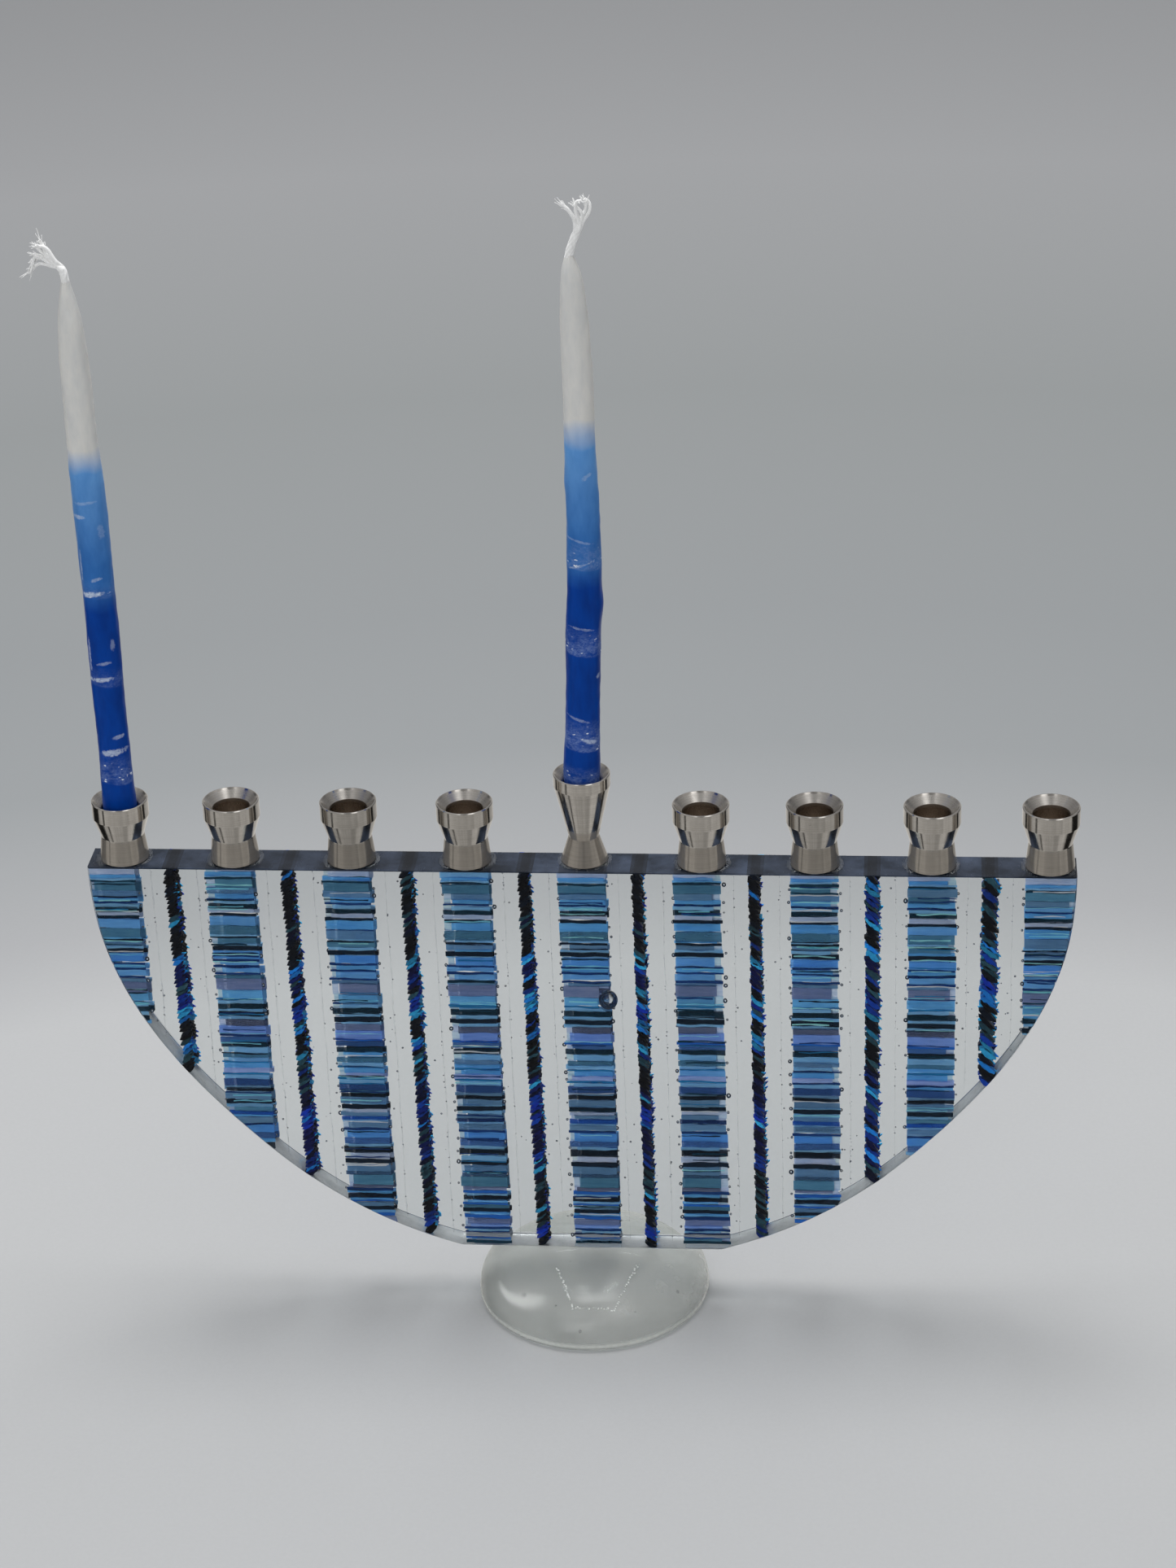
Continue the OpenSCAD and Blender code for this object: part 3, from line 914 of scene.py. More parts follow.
# how far a leaf climbs from left to right
CANE_CLIMB = (2.0, 2.0, 2.0, 2.0, -2.1, -2.2, -3.3, -3.5)
# a leaf's height at each point across it
LEAF_FORM = (0.12, 0.6, 0.98, 1.0, 0.85, 0.5, 0.12)


def leaf(b, cx, w0, w1, mid_z, tall, climb, y0, y1, tint, rng):
    """One slanted leaf of a cane: a closed shell, pointed at both ends."""
    segs = len(LEAF_FORM) - 1
    seed = rng.uniform(0, 500)
    verts = []
    for k, form in enumerate(LEAF_FORM):
        u = k / segs
        x = cx - w0 + (w0 + w1) * u
        low = lowest_at(x) + 0.3
        mid = mid_z + climb * (u - 0.5) + 0.12 * noise.noise((seed, u * 4, 0))
        half = 0.5 * tall * form * (1 + 0.35 * noise.noise((seed, u * 5, 9.1)))
        if k == segs // 2 and mid < low:
            return
        bottom = min(max(mid - half, low), TOP_Z - 0.32)
        top = max(min(mid + half, TOP_Z - 0.22), bottom + 0.1)
        verts += [(x, y0, bottom), (x, y1, bottom), (x, y1, top), (x, y0, top)]
    b.add(verts, ring_faces(segs + 1, 4), tint)


def make_cane(n):
    """A twisted dark ribbon through the panel: slanted leaves, front and back, in runs of colour."""
    rng = random.Random(300 + n)
    lo, hi = mm_box(f"twist_line_{n}")
    b = Builder()
    floor_z = min(lowest_at(lo.x), lowest_at(hi.x)) + 0.3
    # the two canes on the right are broader and brighter, with longer leaves
    bold = n >= 7
    wide = CANE_WIDTH[n - 1] / 2
    for y0, y1, sign in ((FRONT_Y + 0.35, FRONT_Y + 2.6, 1), (BACK_Y - 2.9, BACK_Y - 0.4, -1)):
        z = TOP_Z - 0.3
        run = 0
        left = CANE_RUNS[0][0] * (0.4 if bold else 1) + rng.uniform(-2, 2)
        while z > floor_z:
            tall = rng.uniform(1.5, 2.7) if bold else rng.uniform(1.0, 1.9)
            axis = CANE_X[n - 1] + lean_at(CANE_LEAN[n - 1], z)
            names = CANE_RUNS[run][1].split()
            if rng.random() < (0.36 if bold else 0.14):
                names = ["azure", "cyan", "cobalt", "moss"]
            shade = rng.uniform(0.5, 1.4)
            w0, w1 = wide * rng.uniform(0.8, 1.15), wide * rng.uniform(0.8, 1.22)
            climb = CANE_CLIMB[n - 1] * sign * rng.uniform(0.75, 1.2)
            tint = (*[c * shade for c in CANE_COLOURS[rng.choice(names)]], 1)
            leaf(b, axis, w0, w1, z - tall / 2, tall, climb, y0, y1, tint, rng)
            if rng.random() < (0.75 if bold else 0.6):
                # a bright leaf just behind, which shows as the edge of the dark one
                edge = CANE_COLOURS[rng.choice(["cyan", "azure", "cyan", "cobalt", "royal"])]
                edge_x = axis + rng.uniform(-0.1, 0.35)
                edge_z = z - tall * rng.uniform(0.3, 0.9)
                leaf(b, edge_x, w0 * 1.05, w1 * 1.15, edge_z, tall * 0.8, climb, y1 + 0.1, y1 + 0.6,
                     (*[c * 1.5 for c in edge], 1), rng)
            step = tall * rng.uniform(0.74 if bold else 0.72, 1.0)
            z -= step
            left -= step
            if left < 0 and run < len(CANE_RUNS) - 1:
                run += 1
                left = CANE_RUNS[run][0] * rng.uniform(0.8, 1.2)
    b.make(f"twist_line_{n}_cane", [CANE], "stand", "twisted_cane", [f"twist_line_{n}"])


for cane_number in range(1, 9):
    make_cane(cane_number)

# ---------------------------------------------------------------- seams and bubbles in the clear glass


def make_seams(seams, bubbles, rng):
    """A thin hazy seam down each clear strip, with fine bubbles along it and a few beside it."""
    for k in range(1, 17):
        lo, hi = mm_box(f"clear_strip_{k:02d}")
        x = lo.x + (hi.x - lo.x) * (0.42 if k % 2 else 0.58)
        low = lowest_at(x) + 1.0
        y = rng.uniform(-1.5, 1.5)
        count = int((TOP_Z - 0.8 - low) / 3)
        verts = []
        for i in range(count + 1):
            z = TOP_Z - 0.6 - (TOP_Z - 0.6 - low) * i / count
            xx = x + 0.12 * noise.noise((k * 3.1, z * 0.08, 0)) * 2
            verts += [(xx + 0.09 * dx, y + 0.9 * dy, z) for dx, dy in ((-1, -1), (1, -1), (1, 1), (-1, 1))]
        seams.add(verts, ring_faces(count + 1, 4))
        z = TOP_Z - 2
        while z > low:
            centre = (x + rng.gauss(0, 0.12), y + rng.uniform(-1, 1), z)
            bubble(bubbles, centre, rng.choice((0.08, 0.1, 0.13, 0.2)))
            z -= rng.expovariate(1 / 3.2) + 0.5
        for _ in range(9):
            z = rng.uniform(low + 2, TOP_Z - 4)
            centre = (rng.uniform(lo.x + 0.6, hi.x - 0.6), rng.uniform(-3.5, 3.5), z)
            bubble(bubbles, centre, rng.uniform(0.12, 0.3))


def make_band_bubbles(bubbles, rng):
    """Bubbles trapped at the sides of each band, and small ones in front of it."""
    for n in range(1, 10):
        lo, hi = mm_box(f"blue_band_{n}")
        for side in (lo.x - 0.35, hi.x + 0.35):
            if abs(side) > HALF_W - 3:
                continue
            z = TOP_Z - rng.uniform(3, 9)
            low = lowest_at(side) + 2
            while z > low:
                big = rng.random() < 0.22
                r = rng.uniform(0.46, 0.66) if big else rng.uniform(0.26, 0.42)
                centre = (side + rng.uniform(-0.3, 0.3), FRONT_Y + 1.2 + rng.uniform(0, 1.2), z)
                bubble(bubbles, centre, r, (1, 1, rng.uniform(1, 1.3)), 3 if big else 2)
                z -= rng.uniform(1.6, 7.5)
        for _ in range(16):
            z = rng.uniform(max(lowest_at(lo.x), lowest_at(hi.x)) + 2, TOP_Z - 4)
            centre = (rng.uniform(lo.x + 1, hi.x - 1), FRONT_Y + 1.1, z)
            bubble(bubbles, centre, rng.uniform(0.08, 0.2), fine=1)


def make_seams_and_bubbles():
    """Everything that shows inside the clear glass, and the one large bubble."""
    rng = random.Random(77)
    seams, bubbles, large = Builder(), Builder(), Builder()
    make_seams(seams, bubbles, rng)
    make_band_bubbles(bubbles, rng)
    seams.make("panel_seams", [seam_glass()], "stand", "clear_glass")
    bubbles.make("panel_seed_bubbles", [BUBBLE], "stand", "clear_glass")
    bubble(large, (BUBBLE_X, FRONT_Y + 2.75, BUBBLE_Z), 2.6, (0.96, 0.9, 1.1), 4)
    bubble(large, (middle_hi.x - 0.7, FRONT_Y + 1.3, TOP_Z - 35.6), 0.5, fine=3)
    large.make("panel_large_bubble", [bubble_glass("large_bubble", 0.75)], "stand", "clear_glass")


make_seams_and_bubbles()

# ---------------------------------------------------------------- cups and their adhesive

TALL_CUP = 5
CUPS = ["shamash_cup" if n == TALL_CUP else f"candle_cup_{n}" for n in range(1, 10)]
# no two cups have quite the same finish
CUP_TONES = (0.98, 0.98, 0.8, 0.93, 1.0, 0.97, 0.84, 0.97, 0.94)


def finish_cup(n):
    """The CAD cup keeps its mesh and gets its metal, which changes tone at the socket floor and the waist."""
    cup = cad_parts[CUPS[n - 1]]
    lo, hi = mm_box(CUPS[n - 1])
    floor_up, waist_share = (13.0, 0.38) if n == TALL_CUP else (6.4, 0.40)
    waist_z = lo.z + (hi.z - lo.z) * waist_share
    cup.data.materials.clear()
    cup.data.materials.append(
        nickel(f"nickel_{CUPS[n - 1]}", lo, hi, lo.z + floor_up, waist_z, CUP_TONES[n - 1]))


def make_cup_glue(n):
    """The clear bead pressed out under a cup, thickest against the metal, stopped by the panel's faces."""
    rng = random.Random(500 + n)
    lo, hi = mm_box(CUPS[n - 1])
    cx, cy = middle(CUPS[n - 1])
    base_r = 6.05 if n == TALL_CUP else 6.35
    inner_r = base_r - 0.9
    segs = 64
    seed = rng.uniform(0, 300)
    outer = []
    for s in range(segs):
        cos, sin = math.cos(turn(s, segs)), math.sin(turn(s, segs))
        r = base_r + (1.15 + 0.35 * noise.noise((cos * 1.3 + seed, sin * 1.3, 0.5)))
        y_room = (BACK_Y - cy - 0.25) if sin > 0 else (cy - FRONT_Y - 0.25)
        if abs(sin) > 1e-3:
            r = min(r, y_room / abs(sin))
        if abs(cos) > 1e-3 and cos * cx > 0:
            r = min(r, (HALF_W - 0.3 - abs(cx)) / abs(cos))
        outer.append(r)
    verts = []
    for share, z in ((0.0, TOP_Z + 0.02), (0.5, TOP_Z + 0.02), (0.97, TOP_Z + 0.02), (1.0, TOP_Z + 0.12),
                     (0.86, TOP_Z + 0.36), (0.62, TOP_Z + 0.50), (0.35, lo.z + 0.12), (0.0, lo.z - 0.02)):
        for s, out in enumerate(outer):
            wide = out * share + inner_r * (1 - share)
            tight = out * (0.75 + 0.25 * share)
            r = wide if out > inner_r else tight
            verts.append((cx + math.cos(turn(s, segs)) * r, cy + math.sin(turn(s, segs)) * r, z))
    b = Builder()
    b.add(verts, [tuple(reversed(f)) for f in ring_faces(8, segs)], smooth=True)
    b.make(f"cup_glue_{n}_bead", [GLUE_GLASS], "stand", "clear_adhesive", [f"cup_glue_{n}"])


for cup_number in range(1, 10):
    finish_cup(cup_number)
for cup_number in range(1, 10):
    make_cup_glue(cup_number)

# ---------------------------------------------------------------- the foot


def make_dome():
    """A pressed glass dome with a softened lower edge, a slightly uneven skin and a ground underside whose
    white is partly painted light.
    """
    segs = 128
    profile = [(FOOT_R - 1.6, 0.0), (FOOT_R - 0.8, 0.12), (FOOT_R - 0.25, 0.55), (FOOT_R - 0.02, 1.3)]
    for a in range(9, 90, 3):
        c, s = math.cos(math.radians(a)), math.sin(math.radians(a))
        z = FOOT_TOP * s ** (2 / DOME_POWER)
        if z > 1.9:
            profile.append((FOOT_R * c ** (2 / DOME_POWER), z))
    verts = []
    for r, z in profile:
        for s in range(segs):
            a = turn(s, segs)
            wob = 0.12 * noise.noise((math.cos(a) * 2, math.sin(a) * 2, z * 0.12)) if z > 0.5 else 0
            verts.append(((r + wob) * math.cos(a), (r + wob) * math.sin(a), z))
    b = Builder()
    b.add(verts, ring_faces(len(profile), segs, closed_ends=False), smooth=True)
    last = (len(profile) - 1) * segs
    b.verts.append((0, 0, FOOT_TOP))
    for s in range(segs):
        b.face([last + s, last + (s + 1) % segs, len(verts)], smooth=True)
    b.face(reversed(range(segs)), slot=1)
    dome = b.make("glass_foot_dome", [foot_glass(), ground_base_painted_light()], "stand", "foot_glass", ["glass_foot"])
    for e in dome.data.edges:
        if max(e.vertices) < segs:
            e.use_edge_sharp = True
    return dome


def make_foot_bubbles(rng):
    """A few larger bubbles placed one by one and a scatter of fine ones inside the dome."""
    b = Builder()
    for x, y, z, r in ((-16.5, -16, 6.2, 0.5), (-1.5, -25.5, 3.2, 0.42), (22.5, -12, 6.0, 0.4),
                       (12, -20, 5, 0.22), (-8, -21, 7, 0.2)):
        bubble(b, (x, y, z), r, fine=3)
    for _ in range(14):
        a, d = rng.uniform(0, 2 * math.pi), 20 * math.sqrt(rng.random())
        bubble(b, (d * math.cos(a), d * math.sin(a), rng.uniform(3, 8)), rng.uniform(0.07, 0.15))
    b.make("foot_seed_bubbles", [BUBBLE], "stand", "foot_glass")


def make_glue_line(rng):
    """The edge of the old adhesive patch, a broken white line of beads at the dome's front."""
    corners = [(-8.6, -13.5), (-3.4, -26.0), (7.8, -25.8), (13.2, -10.0)]
    b = Builder()
    for (ax, ay), (bx, by), spacing in zip(corners, corners[1:], (0.42, 0.5, 0.55)):
        length = math.hypot(bx - ax, by - ay)
        t = 0.0
        while t < length:
            x = ax + (bx - ax) * t / length + rng.gauss(0, 0.14)
            y = ay + (by - ay) * t / length + rng.gauss(0, 0.14)
            z = dome_z(math.hypot(x, y)) - 0.14
            bubble(b, (x, y, z), rng.uniform(0.14, 0.34), (1, 1, 0.7))
            t += spacing * rng.uniform(0.6, 1.5)
    b.make("foot_glue_line", [dried_glue()], "stand", "clear_adhesive")


def make_foot_glue():
    """Adhesive between the dome and the panel's flat bottom edge: a shallow fillet."""
    segs = 72
    rx, ry = 12.0, 5.1
    rows = [(0.2, 0.0), (0.7, 0.0), (1.0, 0.0), (1.02, 0.35), (0.93, 0.9), (0.7, 1.0), (0.2, 1.0)]
    verts = []
    for share, up in rows:
        for s in range(segs):
            a = turn(s, segs)
            wob = 1 + 0.05 * noise.noise((math.cos(a) * 2, math.sin(a) * 2, 4.2))
            x, y = rx * share * math.cos(a) * wob, ry * share * math.sin(a)
            z0 = dome_z(math.hypot(x, y)) + 0.02
            verts.append((x, y, z0 + (FOOT_Z - 0.02 - z0) * up))
    b = Builder()
    b.add(verts, [tuple(reversed(f)) for f in ring_faces(len(rows), segs)], smooth=True)
    b.make("foot_glue_fillet", [GLUE_GLASS], "stand", "clear_adhesive", ["foot_glue"])


foot_dome = make_dome()
foot_rng = random.Random(9)
make_foot_bubbles(foot_rng)
make_glue_line(foot_rng)
make_foot_glue()

# ---------------------------------------------------------------- candles and wicks


def smooth_between(keys, step=2.0):
    """More points between keys, eased, so that a lathe profile has no corners."""
    out = []
    for (z0, v0), (z1, v1) in zip(keys, keys[1:]):
        count = max(1, int((z1 - z0) / step))
        for k in range(count):
            t = k / count
            out.append((z0 + (z1 - z0) * t, v0 + (v1 - v0) * (t * 0.5 + 0.5 * t * t * (3 - 2 * t))))
    out.append(keys[-1])
    return out


def candle_levels(low, top):
    """Heights of a candle's rings: even up the body and close together round the tip."""
    levels = []
    z = low
    while z < top - 4:
        levels.append(z)
        z += 1.1
    return levels + [top - down for down in (3.6, 2.8, 2.1, 1.5, 1.0, 0.6, 0.3, 0.08)]


def make_candle(name, node, widths, drift, lumps, colours, seed, y_drift):
    """A hand-dipped candle: widths and x positions by height, and soft lumps at (z, angle, size, spread)."""
    lo, hi = mm_box(node)
    cx0, cy0 = middle(node)
    z_keys, width_keys = zip(*smooth_between(widths))
    drift_z, drift_x = zip(*smooth_between(drift))
    top = z_keys[-1]
    levels = candle_levels(lo.z, top)
    segs = 48
    verts = []

    def width_at(z):
        return float(np.interp(z, z_keys, width_keys))

    for z in levels:
        r = width_at(z) / 2
        if z < top - 5:
            # soften the corners between the keys
            r = (r + width_at(z - 1.5) / 4 + width_at(z + 1.5) / 4) / 2
        cx = float(np.interp(z, drift_z, drift_x))
        cy = cy0 + y_drift * ease(z, lo.z + 12, top)
        free = ease(z, lo.z + 10, lo.z + 16)
        for s in range(segs):
            a = turn(s, segs)
            wob = 0.16 * noise.noise((math.cos(a) * 1.1 + seed, math.sin(a) * 1.1, z * 0.06)) * 2
            wob += 0.06 * noise.noise((math.cos(a) * 2.5 + seed, math.sin(a) * 2.5, z * 0.35)) * 2
            for lump_z, lump_a, size, spread in lumps:
                da = math.atan2(math.sin(a - lump_a), math.cos(a - lump_a))
                wob += size * math.exp(-((z - lump_z) / spread) ** 2 - (da / 0.5) ** 2)
            r_here = max(0.25, r + wob * free)
            verts.append((cx + r_here * math.cos(a), cy + r_here * math.sin(a), z))
    b = Builder()
    b.add(verts, ring_faces(len(levels), segs), smooth=True)
    b.make(name, [wax(name + "_wax", cx0, *colours)], f"{node}_body", "dipped_wax", [node])


left_low = mm_box("left_candle")[0].z
mid_low = mm_box("shamash_candle")[0].z
left_x = middle("left_candle")[0]
mid_x = middle("shamash_candle")[0]
make_candle(
    "left_candle_wax", "left_candle",
    [(left_low, 8.9), (145, 8.9), (150, 8.6), (168, 8.1), (207, 8.1), (239, 8.2), (257, 7.4), (268, 7.0),
     (274, 6.5), (279, 5.5), (283, 4.1), (286, 2.9), (288.4, 1.9), (289.3, 1.3)],
    [(left_low, left_x), (150, left_x), (200, left_x + 0.2), (250, left_x - 0.1), (289.3, left_x - 0.3)],
    [(228, 0.3, 0.25, 5), (208, 2.8, 0.2, 4), (186, -0.4, 0.22, 5), (252, 1.9, 0.2, 6)],
    (242.2, 206.5,
     [(206, 211, 0.35), (181.5, 187.5, 0.4), (154, 163, 0.8)],
     # the two long narrow marks at -3.0 are painted highlights down the left edge; the rest are frosted spots
     [(231.9, -0.3, 0.45, 3.0, 0.1, 0.3), (228.1, -2.2, 0.6, 1.6, 0.1, 0.55), (224.0, 2.9, 2.0, 0.8, 0, 0.2),
      (211.4, 0.8, 0.5, 1.3, 0.2, 0.45), (214.5, -3.0, 4.0, 0.35, 0, 0.45),
      (207.2, -0.9, 0.75, 2.7, 0.12, 0.95), (188.3, 0.6, 0.45, 2.0, 0.1, 0.45),
      (190.5, -3.0, 5.0, 0.35, 0, 0.5), (183.7, -0.7, 0.7, 3.0, 0.1, 0.85), (193.0, 3.0, 1.6, 0.5, 0, 0.35),
      (163.2, 0.6, 1.0, 3.2, 0.1, 0.75), (167.5, 2.2, 0.6, 1.4, 0.1, 0.5)]),
    3.7, 0.2)
make_candle(
    "shamash_candle_wax", "shamash_candle",
    [(mid_low, 9.0), (153.5, 9.1), (157, 9.45), (163, 9.0), (177, 8.6), (190, 8.9), (201, 8.9), (212, 8.6),
     (225, 8.25), (248, 7.6), (262, 7.5), (273, 7.1), (279, 6.6), (285, 5.9), (288.5, 5.0), (291, 3.9),
     (293, 2.6), (294, 1.6)],
    [(mid_low, mid_x), (154, mid_x), (170, mid_x + 0.8), (190, mid_x + 1.7), (210, mid_x + 2.5),
     (225, mid_x + 2.9), (260, mid_x + 2.7), (289, mid_x + 2.2), (294, mid_x + 1.9)],
    [(203, 0.1, 0.45, 3.5), (236, 3.0, 0.3, 5), (215, 0.0, 0.25, 3), (262, 0.2, 0.22, 6)],
    (249.0, 213.0,
     [(214, 222.5, 0.75), (190.5, 198.5, 1.0), (164, 173.5, 1.0), (154, 160, 0.9)],
     [(238.5, 4.3, 0.7, 1.2, 0.5, 0.3), (221.5, 2.0, 0.35, 3.4, -0.25, 0.3),
      (215.2, 2.4, 0.35, 3.2, 0.35, 0.35), (184.5, 5.6, 0.8, 0.7, 0, 0.5),
      (198.0, 2.0, 0.35, 3.4, -0.2, 0.35), (167.0, 2.6, 0.6, 2.0, -0.35, 0.65),
      (173.0, 0.0, 0.4, 3.0, -0.3, 0.35)]),
    9.1, 0.0)


def jitter(rng, x, y, z):
    """A small random offset, up to the lengths given each way."""
    return Vector((rng.uniform(-x, x), rng.uniform(-y, y), rng.uniform(-z, z)))


def make_wick(name, node, body, stem, ends, seed, stem_r):
    """Loose cotton strands wound together up the stem, then splaying.

    Each end is a list of steps (x, z) from the stem's top.
    """
    rng = random.Random(seed)
    b = Builder()
    top = Vector(stem[-1])
    for k, end in enumerate(ends):
        phase = turn(k, len(ends))
        points = []
        for i, (x, y, z) in enumerate(stem):
            a = phase + i * 1.3
            points.append((x + stem_r * math.cos(a), y + stem_r * math.sin(a), z))
        depth = rng.uniform(-0.9, 0.9)
        for i, (dx, dz) in enumerate(end):
            share = (i + 1) / len(end)
            points.append((top.x + dx, top.y + depth * share + rng.uniform(-0.15, 0.15), top.z + dz))
        fat = 0.56 * rng.uniform(0.85, 1.15)
        tube(b, spline(points, 6), lambda t: fat * (1 - 0.45 * max(0, t - 0.6) / 0.4), 9)
        before, last = Vector(points[-2]), Vector(points[-1])
        for _ in range(10):
            start = before.lerp(last, rng.uniform(0.1, 0.8))
            out = (last - before) * rng.uniform(0.5, 1.1) + jitter(rng, 0.8, 0.6, 0.8)
            bend = start + out * 0.5 + jitter(rng, 0.25, 0.25, 0.25)
            tube(b, spline([start, bend, start + out], 4), lambda t: 0.15 * (1 - 0.6 * t), 5)
    b.make(name, [COTTON], body, "cotton_wick", [node])


sx = mid_x + 1.6
make_wick(
    "shamash_wick_strands", "shamash_wick", "shamash_candle_body",
    [(sx, 1.5, 290.5), (sx + 0.1, 1.5, 293.2), (sx + 0.7, 1.6, 295.6), (sx + 1.6, 1.6, 298.0),
     (sx + 2.5, 1.6, 300.2)],
    [[(0.9, 2.4), (2.0, 4.8), (2.2, 6.9)], [(1.4, 2.0), (2.9, 4.2), (2.8, 6.4), (1.6, 7.2)],
     [(0.2, 2.4), (-0.3, 4.8), (0.0, 6.8), (1.1, 7.2)], [(-0.6, 2.0), (-1.8, 4.2), (-3.4, 5.9)],
     [(-0.8, 2.4), (-2.2, 5.0), (-3.9, 6.5)], [(0.9, 1.8), (1.0, 4.2), (-0.8, 6.2)]],
    61, 0.55)
lx = left_x - 0.3
make_wick(
    "left_wick_strands", "left_wick", "left_candle_body",
    [(lx, 0.4, 286.0), (lx, 0.4, 288.4), (lx - 0.2, 0.4, 290.2), (lx - 0.7, 0.4, 291.4)],
    [[(-1.6, 1.8), (-3.4, 4.6), (-4.8, 6.9)], [(-1.9, 1.6), (-4.2, 3.8), (-5.7, 5.2)],
     [(-2.2, 1.2), (-5.0, 2.4), (-7.2, 1.6)], [(-1.9, 0.6), (-5.2, 1.2), (-8.2, -1.2)],
     [(-1.2, 2.0), (-3.0, 5.2), (-5.5, 5.9)], [(-2.4, 1.4), (-5.8, 3.2), (-7.0, -0.2)],
     [(-2.0, 1.0), (-4.6, 3.2), (-6.4, 3.8)], [(-1.0, 1.4), (-3.2, 3.6), (-3.9, 6.0)]],
    62, 0.5)

# ---------------------------------------------------------------- floor, light and camera


def make_floor():
    """A floor with painted light and shade: a pale pool under the object, a little in front of it, and a
    greyer floor round that.
    """
    k = Mat("studio_floor")
    away = k.node("VectorMath", {"operation": "SUBTRACT"}, i0=k.place(), i1=(0.03, -0.3, 0)).outputs[0]
    distance = k.minus(k.node("VectorMath", {"operation": "LENGTH"}, i0=away).outputs["Value"], 0.3)
    # painted light and shade: the floor's colour falls off with distance from the pale pool
    shade = k.ramp(distance, [(at, linear(c)) for at, c in (
        (0.0, (186, 187, 188)), (0.12, (188, 189, 190)), (0.18, (187, 188, 189)), (0.235, (171, 172, 174)),
        (0.335, (153, 156, 158)), (0.45, (150, 153, 155)), (0.68, (153, 156, 157)), (1.0, (174, 175, 177)))])
    grain = k.noise(900)
    c = k.mix(k.map(grain, 0.3, 0.7, 0, 0.06), shade, srgb((150, 150, 150)))
    k.finish(k.bsdf("Principled", Base_Color=c, Roughness=0.8, Specular_IOR_Level=0.1,
                    Normal=k.bump(grain, 0.05, 0.0001)))
    mesh = bpy.data.meshes.new("studio_floor")
    half, drop = 6.0, -0.0002
    corners = [(-half, -half, drop), (half, -half, drop), (half, half, drop), (-half, half, drop)]
    mesh.from_pydata(corners, [], [(0, 1, 2, 3)])
    mesh.materials.append(k.m)
    floor = bpy.data.objects.new("studio_floor", mesh)
    bpy.context.scene.collection.objects.link(floor)
    floor.visible_glossy = False


def make_world():
    """Even grey light, and for reflections a studio of pale panels with dark gaps at the sides."""
    world = bpy.data.worlds.new("studio")
    bpy.context.scene.world = world
    k = Nodes(world, "ShaderNodeOutputWorld")
    parts = k.node("SeparateXYZ", Vector=k.node("TexCoord").outputs["Generated"]).outputs
    # the direction seen, as an angle round the object (0 in front) and a height from -1 to 1
    around = k.math("ARCTAN2", parts["X"], k.times(parts["Y"], -1.0))
    side = k.math("ABSOLUTE", around)
    up = parts["Z"]
    low = (0.215, 0.21, 0.20)
    eye = (0.20, 0.195, 0.185)
    env = k.ramp(k.map(up, -1, 1, 0, 1), [
        (0.0, low), (0.25, low), (0.42, eye), (0.52, eye), (0.62, (0.13, 0.13, 0.135)),
        (0.78, (0.21, 0.208, 0.205)), (0.9, (0.34, 0.335, 0.33)), (1.0, (0.42, 0.42, 0.42))])

    def near(angle, inner, outer, inside, outside):
        """One value close to an angle round the object and another away from it."""
        away = k.math("ABSOLUTE", k.minus(around, angle))
        return k.map(away, inner, outer, inside, outside)

    # dark gaps to both sides, wider above eye level
    above = k.map(up, -0.3, -0.22, 0, 1)
    gap_start = k.most(k.map(side, 1.50, 1.56, 1, 0.03), k.times(k.map(side, 1.80, 1.86, 1, 0.03), above))
    gap = k.most(k.most(gap_start, k.map(side, 2.20, 2.26, 0, 1)), k.map(up, 0.25, 0.4, 0, 1))
    gap = k.most(gap, k.map(up, -0.3, -0.22, 0, 0.45))
    # a narrow dark post at the left, and a dimmer middle at eye level
    post = k.most(near(-1.10, 0.06, 0.09, 0.12, 1), k.map(up, -0.3, -0.25, 0, 1))
    dim = k.most(near(0.1, 0.62, 0.68, 0.68, 1.15), k.map(up, -0.32, -0.22, 1, 0))
    # the dark shape of someone who stands in front
    onlooker = k.most(k.map(side, 0.10, 0.16, 0.12, 1), k.map(up, 0.0, 0.12, 1, 0))
    onlooker = k.most(onlooker, k.map(up, 0.45, 0.55, 0, 1))
    # behind, the pale wall
    behind = k.plus(k.map(side, 2.3, 2.9, 1.0, 1.7),
                    k.times(k.map(side, 2.3, 3.0, 0.5, 0.6), k.map(up, 0.0, 0.15, 1, 0)))
    shade = k.map(k.flat_noise(around, k.times(up, 0.6), 2.6), 0.3, 0.7, 0.78, 1.2)
    for part in (gap, post, dim, onlooker, behind):
        shade = k.times(shade, part)
    grey = k.node("CombineXYZ", X=shade, Y=shade, Z=shade).outputs[0]
    reflected = k.mix(1.0, env, grey, "MULTIPLY")
    # two soft lamps overhead
    for angle, half, strength in ((0.75, 0.2, 0.75), (-0.42, 0.06, 0.5)):
        lamp = near(angle, half, half + 0.14, strength, 0)
        reflected = k.mix(1.0, reflected, k.times(lamp, k.map(up, 0.6, 0.7, 0, 1)), "ADD")
    glossy = k.node("LightPath").outputs["Is Glossy Ray"]
    sky = k.node("Background", Color=k.mix(glossy, rgba((0.47, 0.475, 0.48)), reflected), Strength=1.0)
    k.t.links.new(sky.outputs[0], k.out.inputs["Surface"])


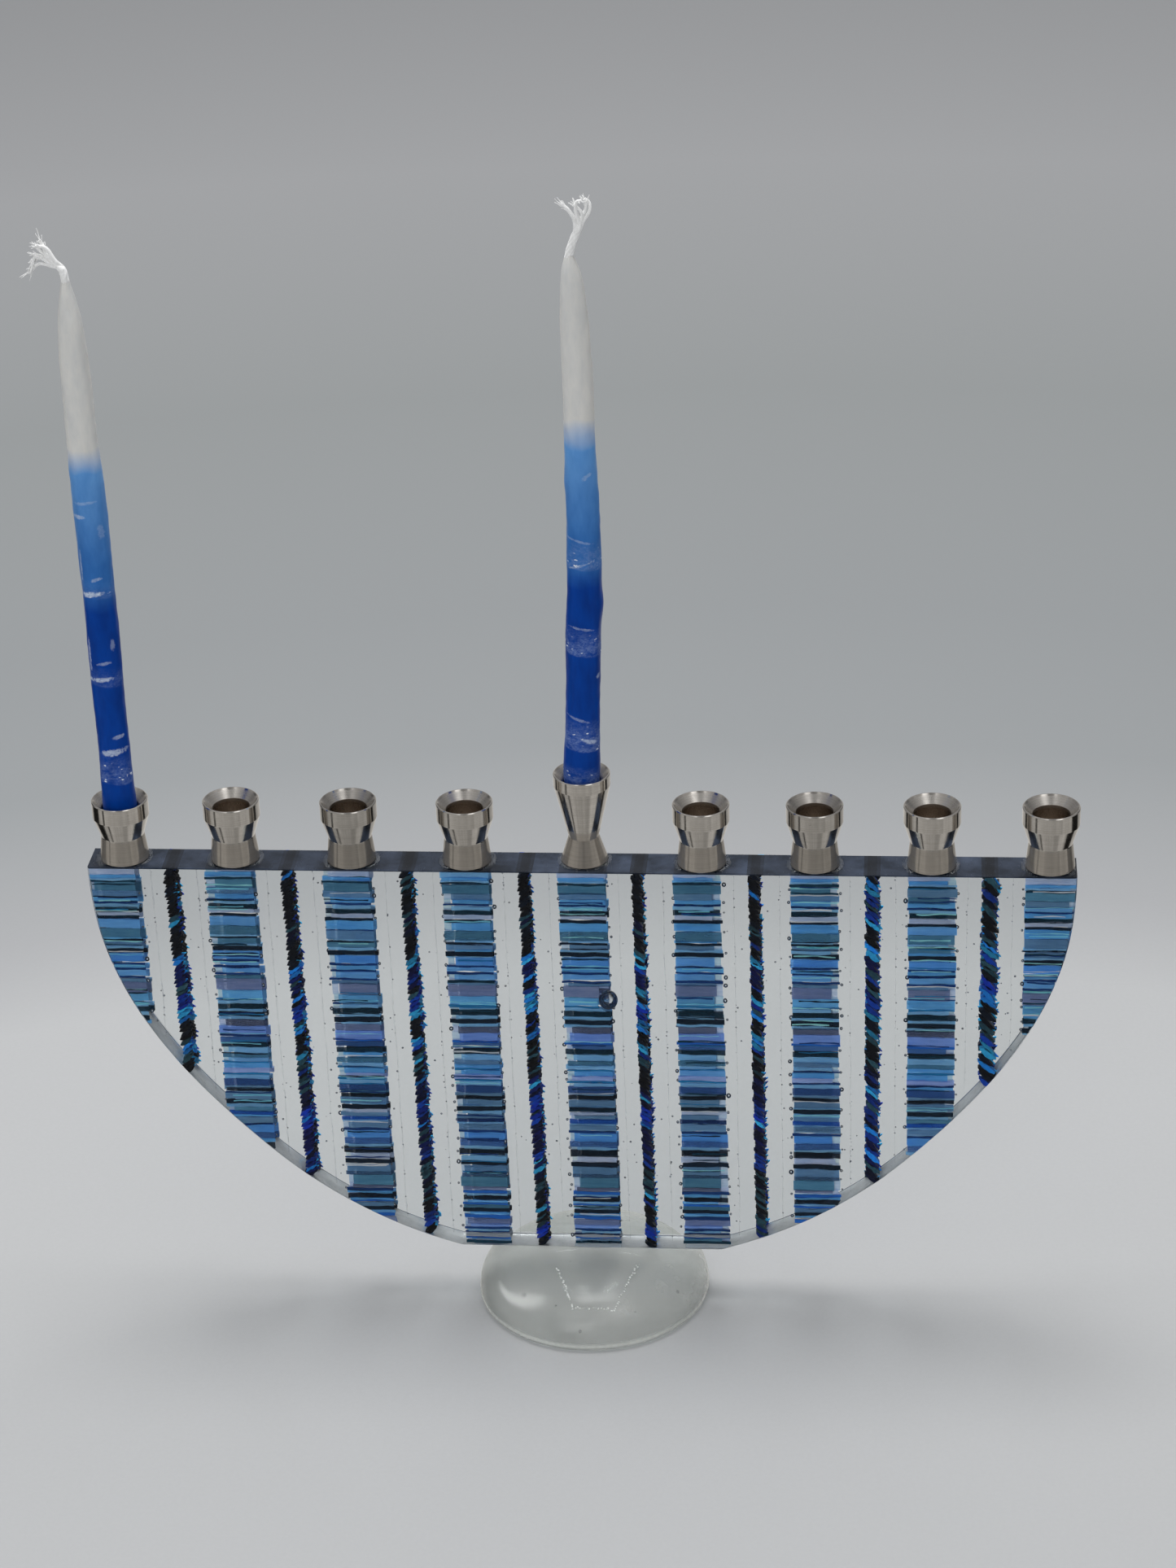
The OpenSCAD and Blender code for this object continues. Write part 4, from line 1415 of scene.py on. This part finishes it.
def area(name, size, energy, location, target, shape="SQUARE"):
    """A soft area light that reflections don't show."""
    data = bpy.data.lights.new(name, "AREA")
    data.shape = shape
    data.size = size
    data.energy = energy
    data.spread = math.pi
    light = bpy.data.objects.new(name, data)
    light.location = location
    light.rotation_mode = "QUATERNION"
    light.rotation_quaternion = (Vector(target) - Vector(location)).to_track_quat("-Z", "Y")
    light.visible_glossy = False
    bpy.context.scene.collection.objects.link(light)
    return light


def glint(name, size, energy, location, target):
    """A soft light that shows only as a reflection in the foot's pressed glass."""
    light = area(name, size, energy, location, target, shape="DISK")
    light.visible_glossy = True
    light.visible_diffuse = light.visible_transmission = light.visible_camera = False
    light.light_linking.receiver_collection = only_foot


def make_camera():
    """The camera stands at the photograph's viewing angle, above and a little right of the middle."""
    pitch, yaw, roll = math.radians(27.06), math.radians(-5.78), math.radians(2.17)
    place = Vector((87.8, -834.7, 582.2)) * MM
    forward = Vector((math.sin(yaw) * math.cos(pitch), math.cos(yaw) * math.cos(pitch), -math.sin(pitch)))
    level = Vector((math.cos(yaw), -math.sin(yaw), 0))
    steep = forward.cross(level)
    right = level * math.cos(roll) + steep * math.sin(roll)
    down = steep * math.cos(roll) - level * math.sin(roll)
    data = bpy.data.cameras.new("camera")
    data.sensor_fit = "AUTO"
    data.sensor_width = 36.0
    data.lens = 85.2
    data.clip_start, data.clip_end = 0.05, 20
    cam = bpy.data.objects.new("camera", data)
    pose = Matrix((right, -down, -forward)).transposed().to_4x4()
    pose.translation = place
    cam.matrix_world = pose
    bpy.context.scene.collection.objects.link(cam)
    bpy.context.scene.camera = cam


make_floor()
make_world()
area("soft_top", 0.6, 13.0, (-0.05, 0.22, 1.4), (0, 0, 0.1))
area("soft_front", 1.6, 24.0, (-0.8, -3.0, 1.28), (0, 0, 0.12))
only_foot = bpy.data.collections.new("foot_glint_receivers")
only_foot.objects.link(foot_dome)
glint("foot_sheen", 0.44, 2.6, (-0.40, 0.06, 0.33), (-0.019, -0.019, 0.010))
glint("foot_sky", 1.3, 3.2, (-0.05, -0.75, 1.1), (0, -0.02, 0.01))
make_camera()
scene = bpy.context.scene
scene.view_settings.view_transform = "Standard"
scene.view_settings.look = "None"
scene.cycles.transparent_max_bounces = 24
scene.cycles.max_bounces = 16
scene.cycles.transmission_bounces = 14
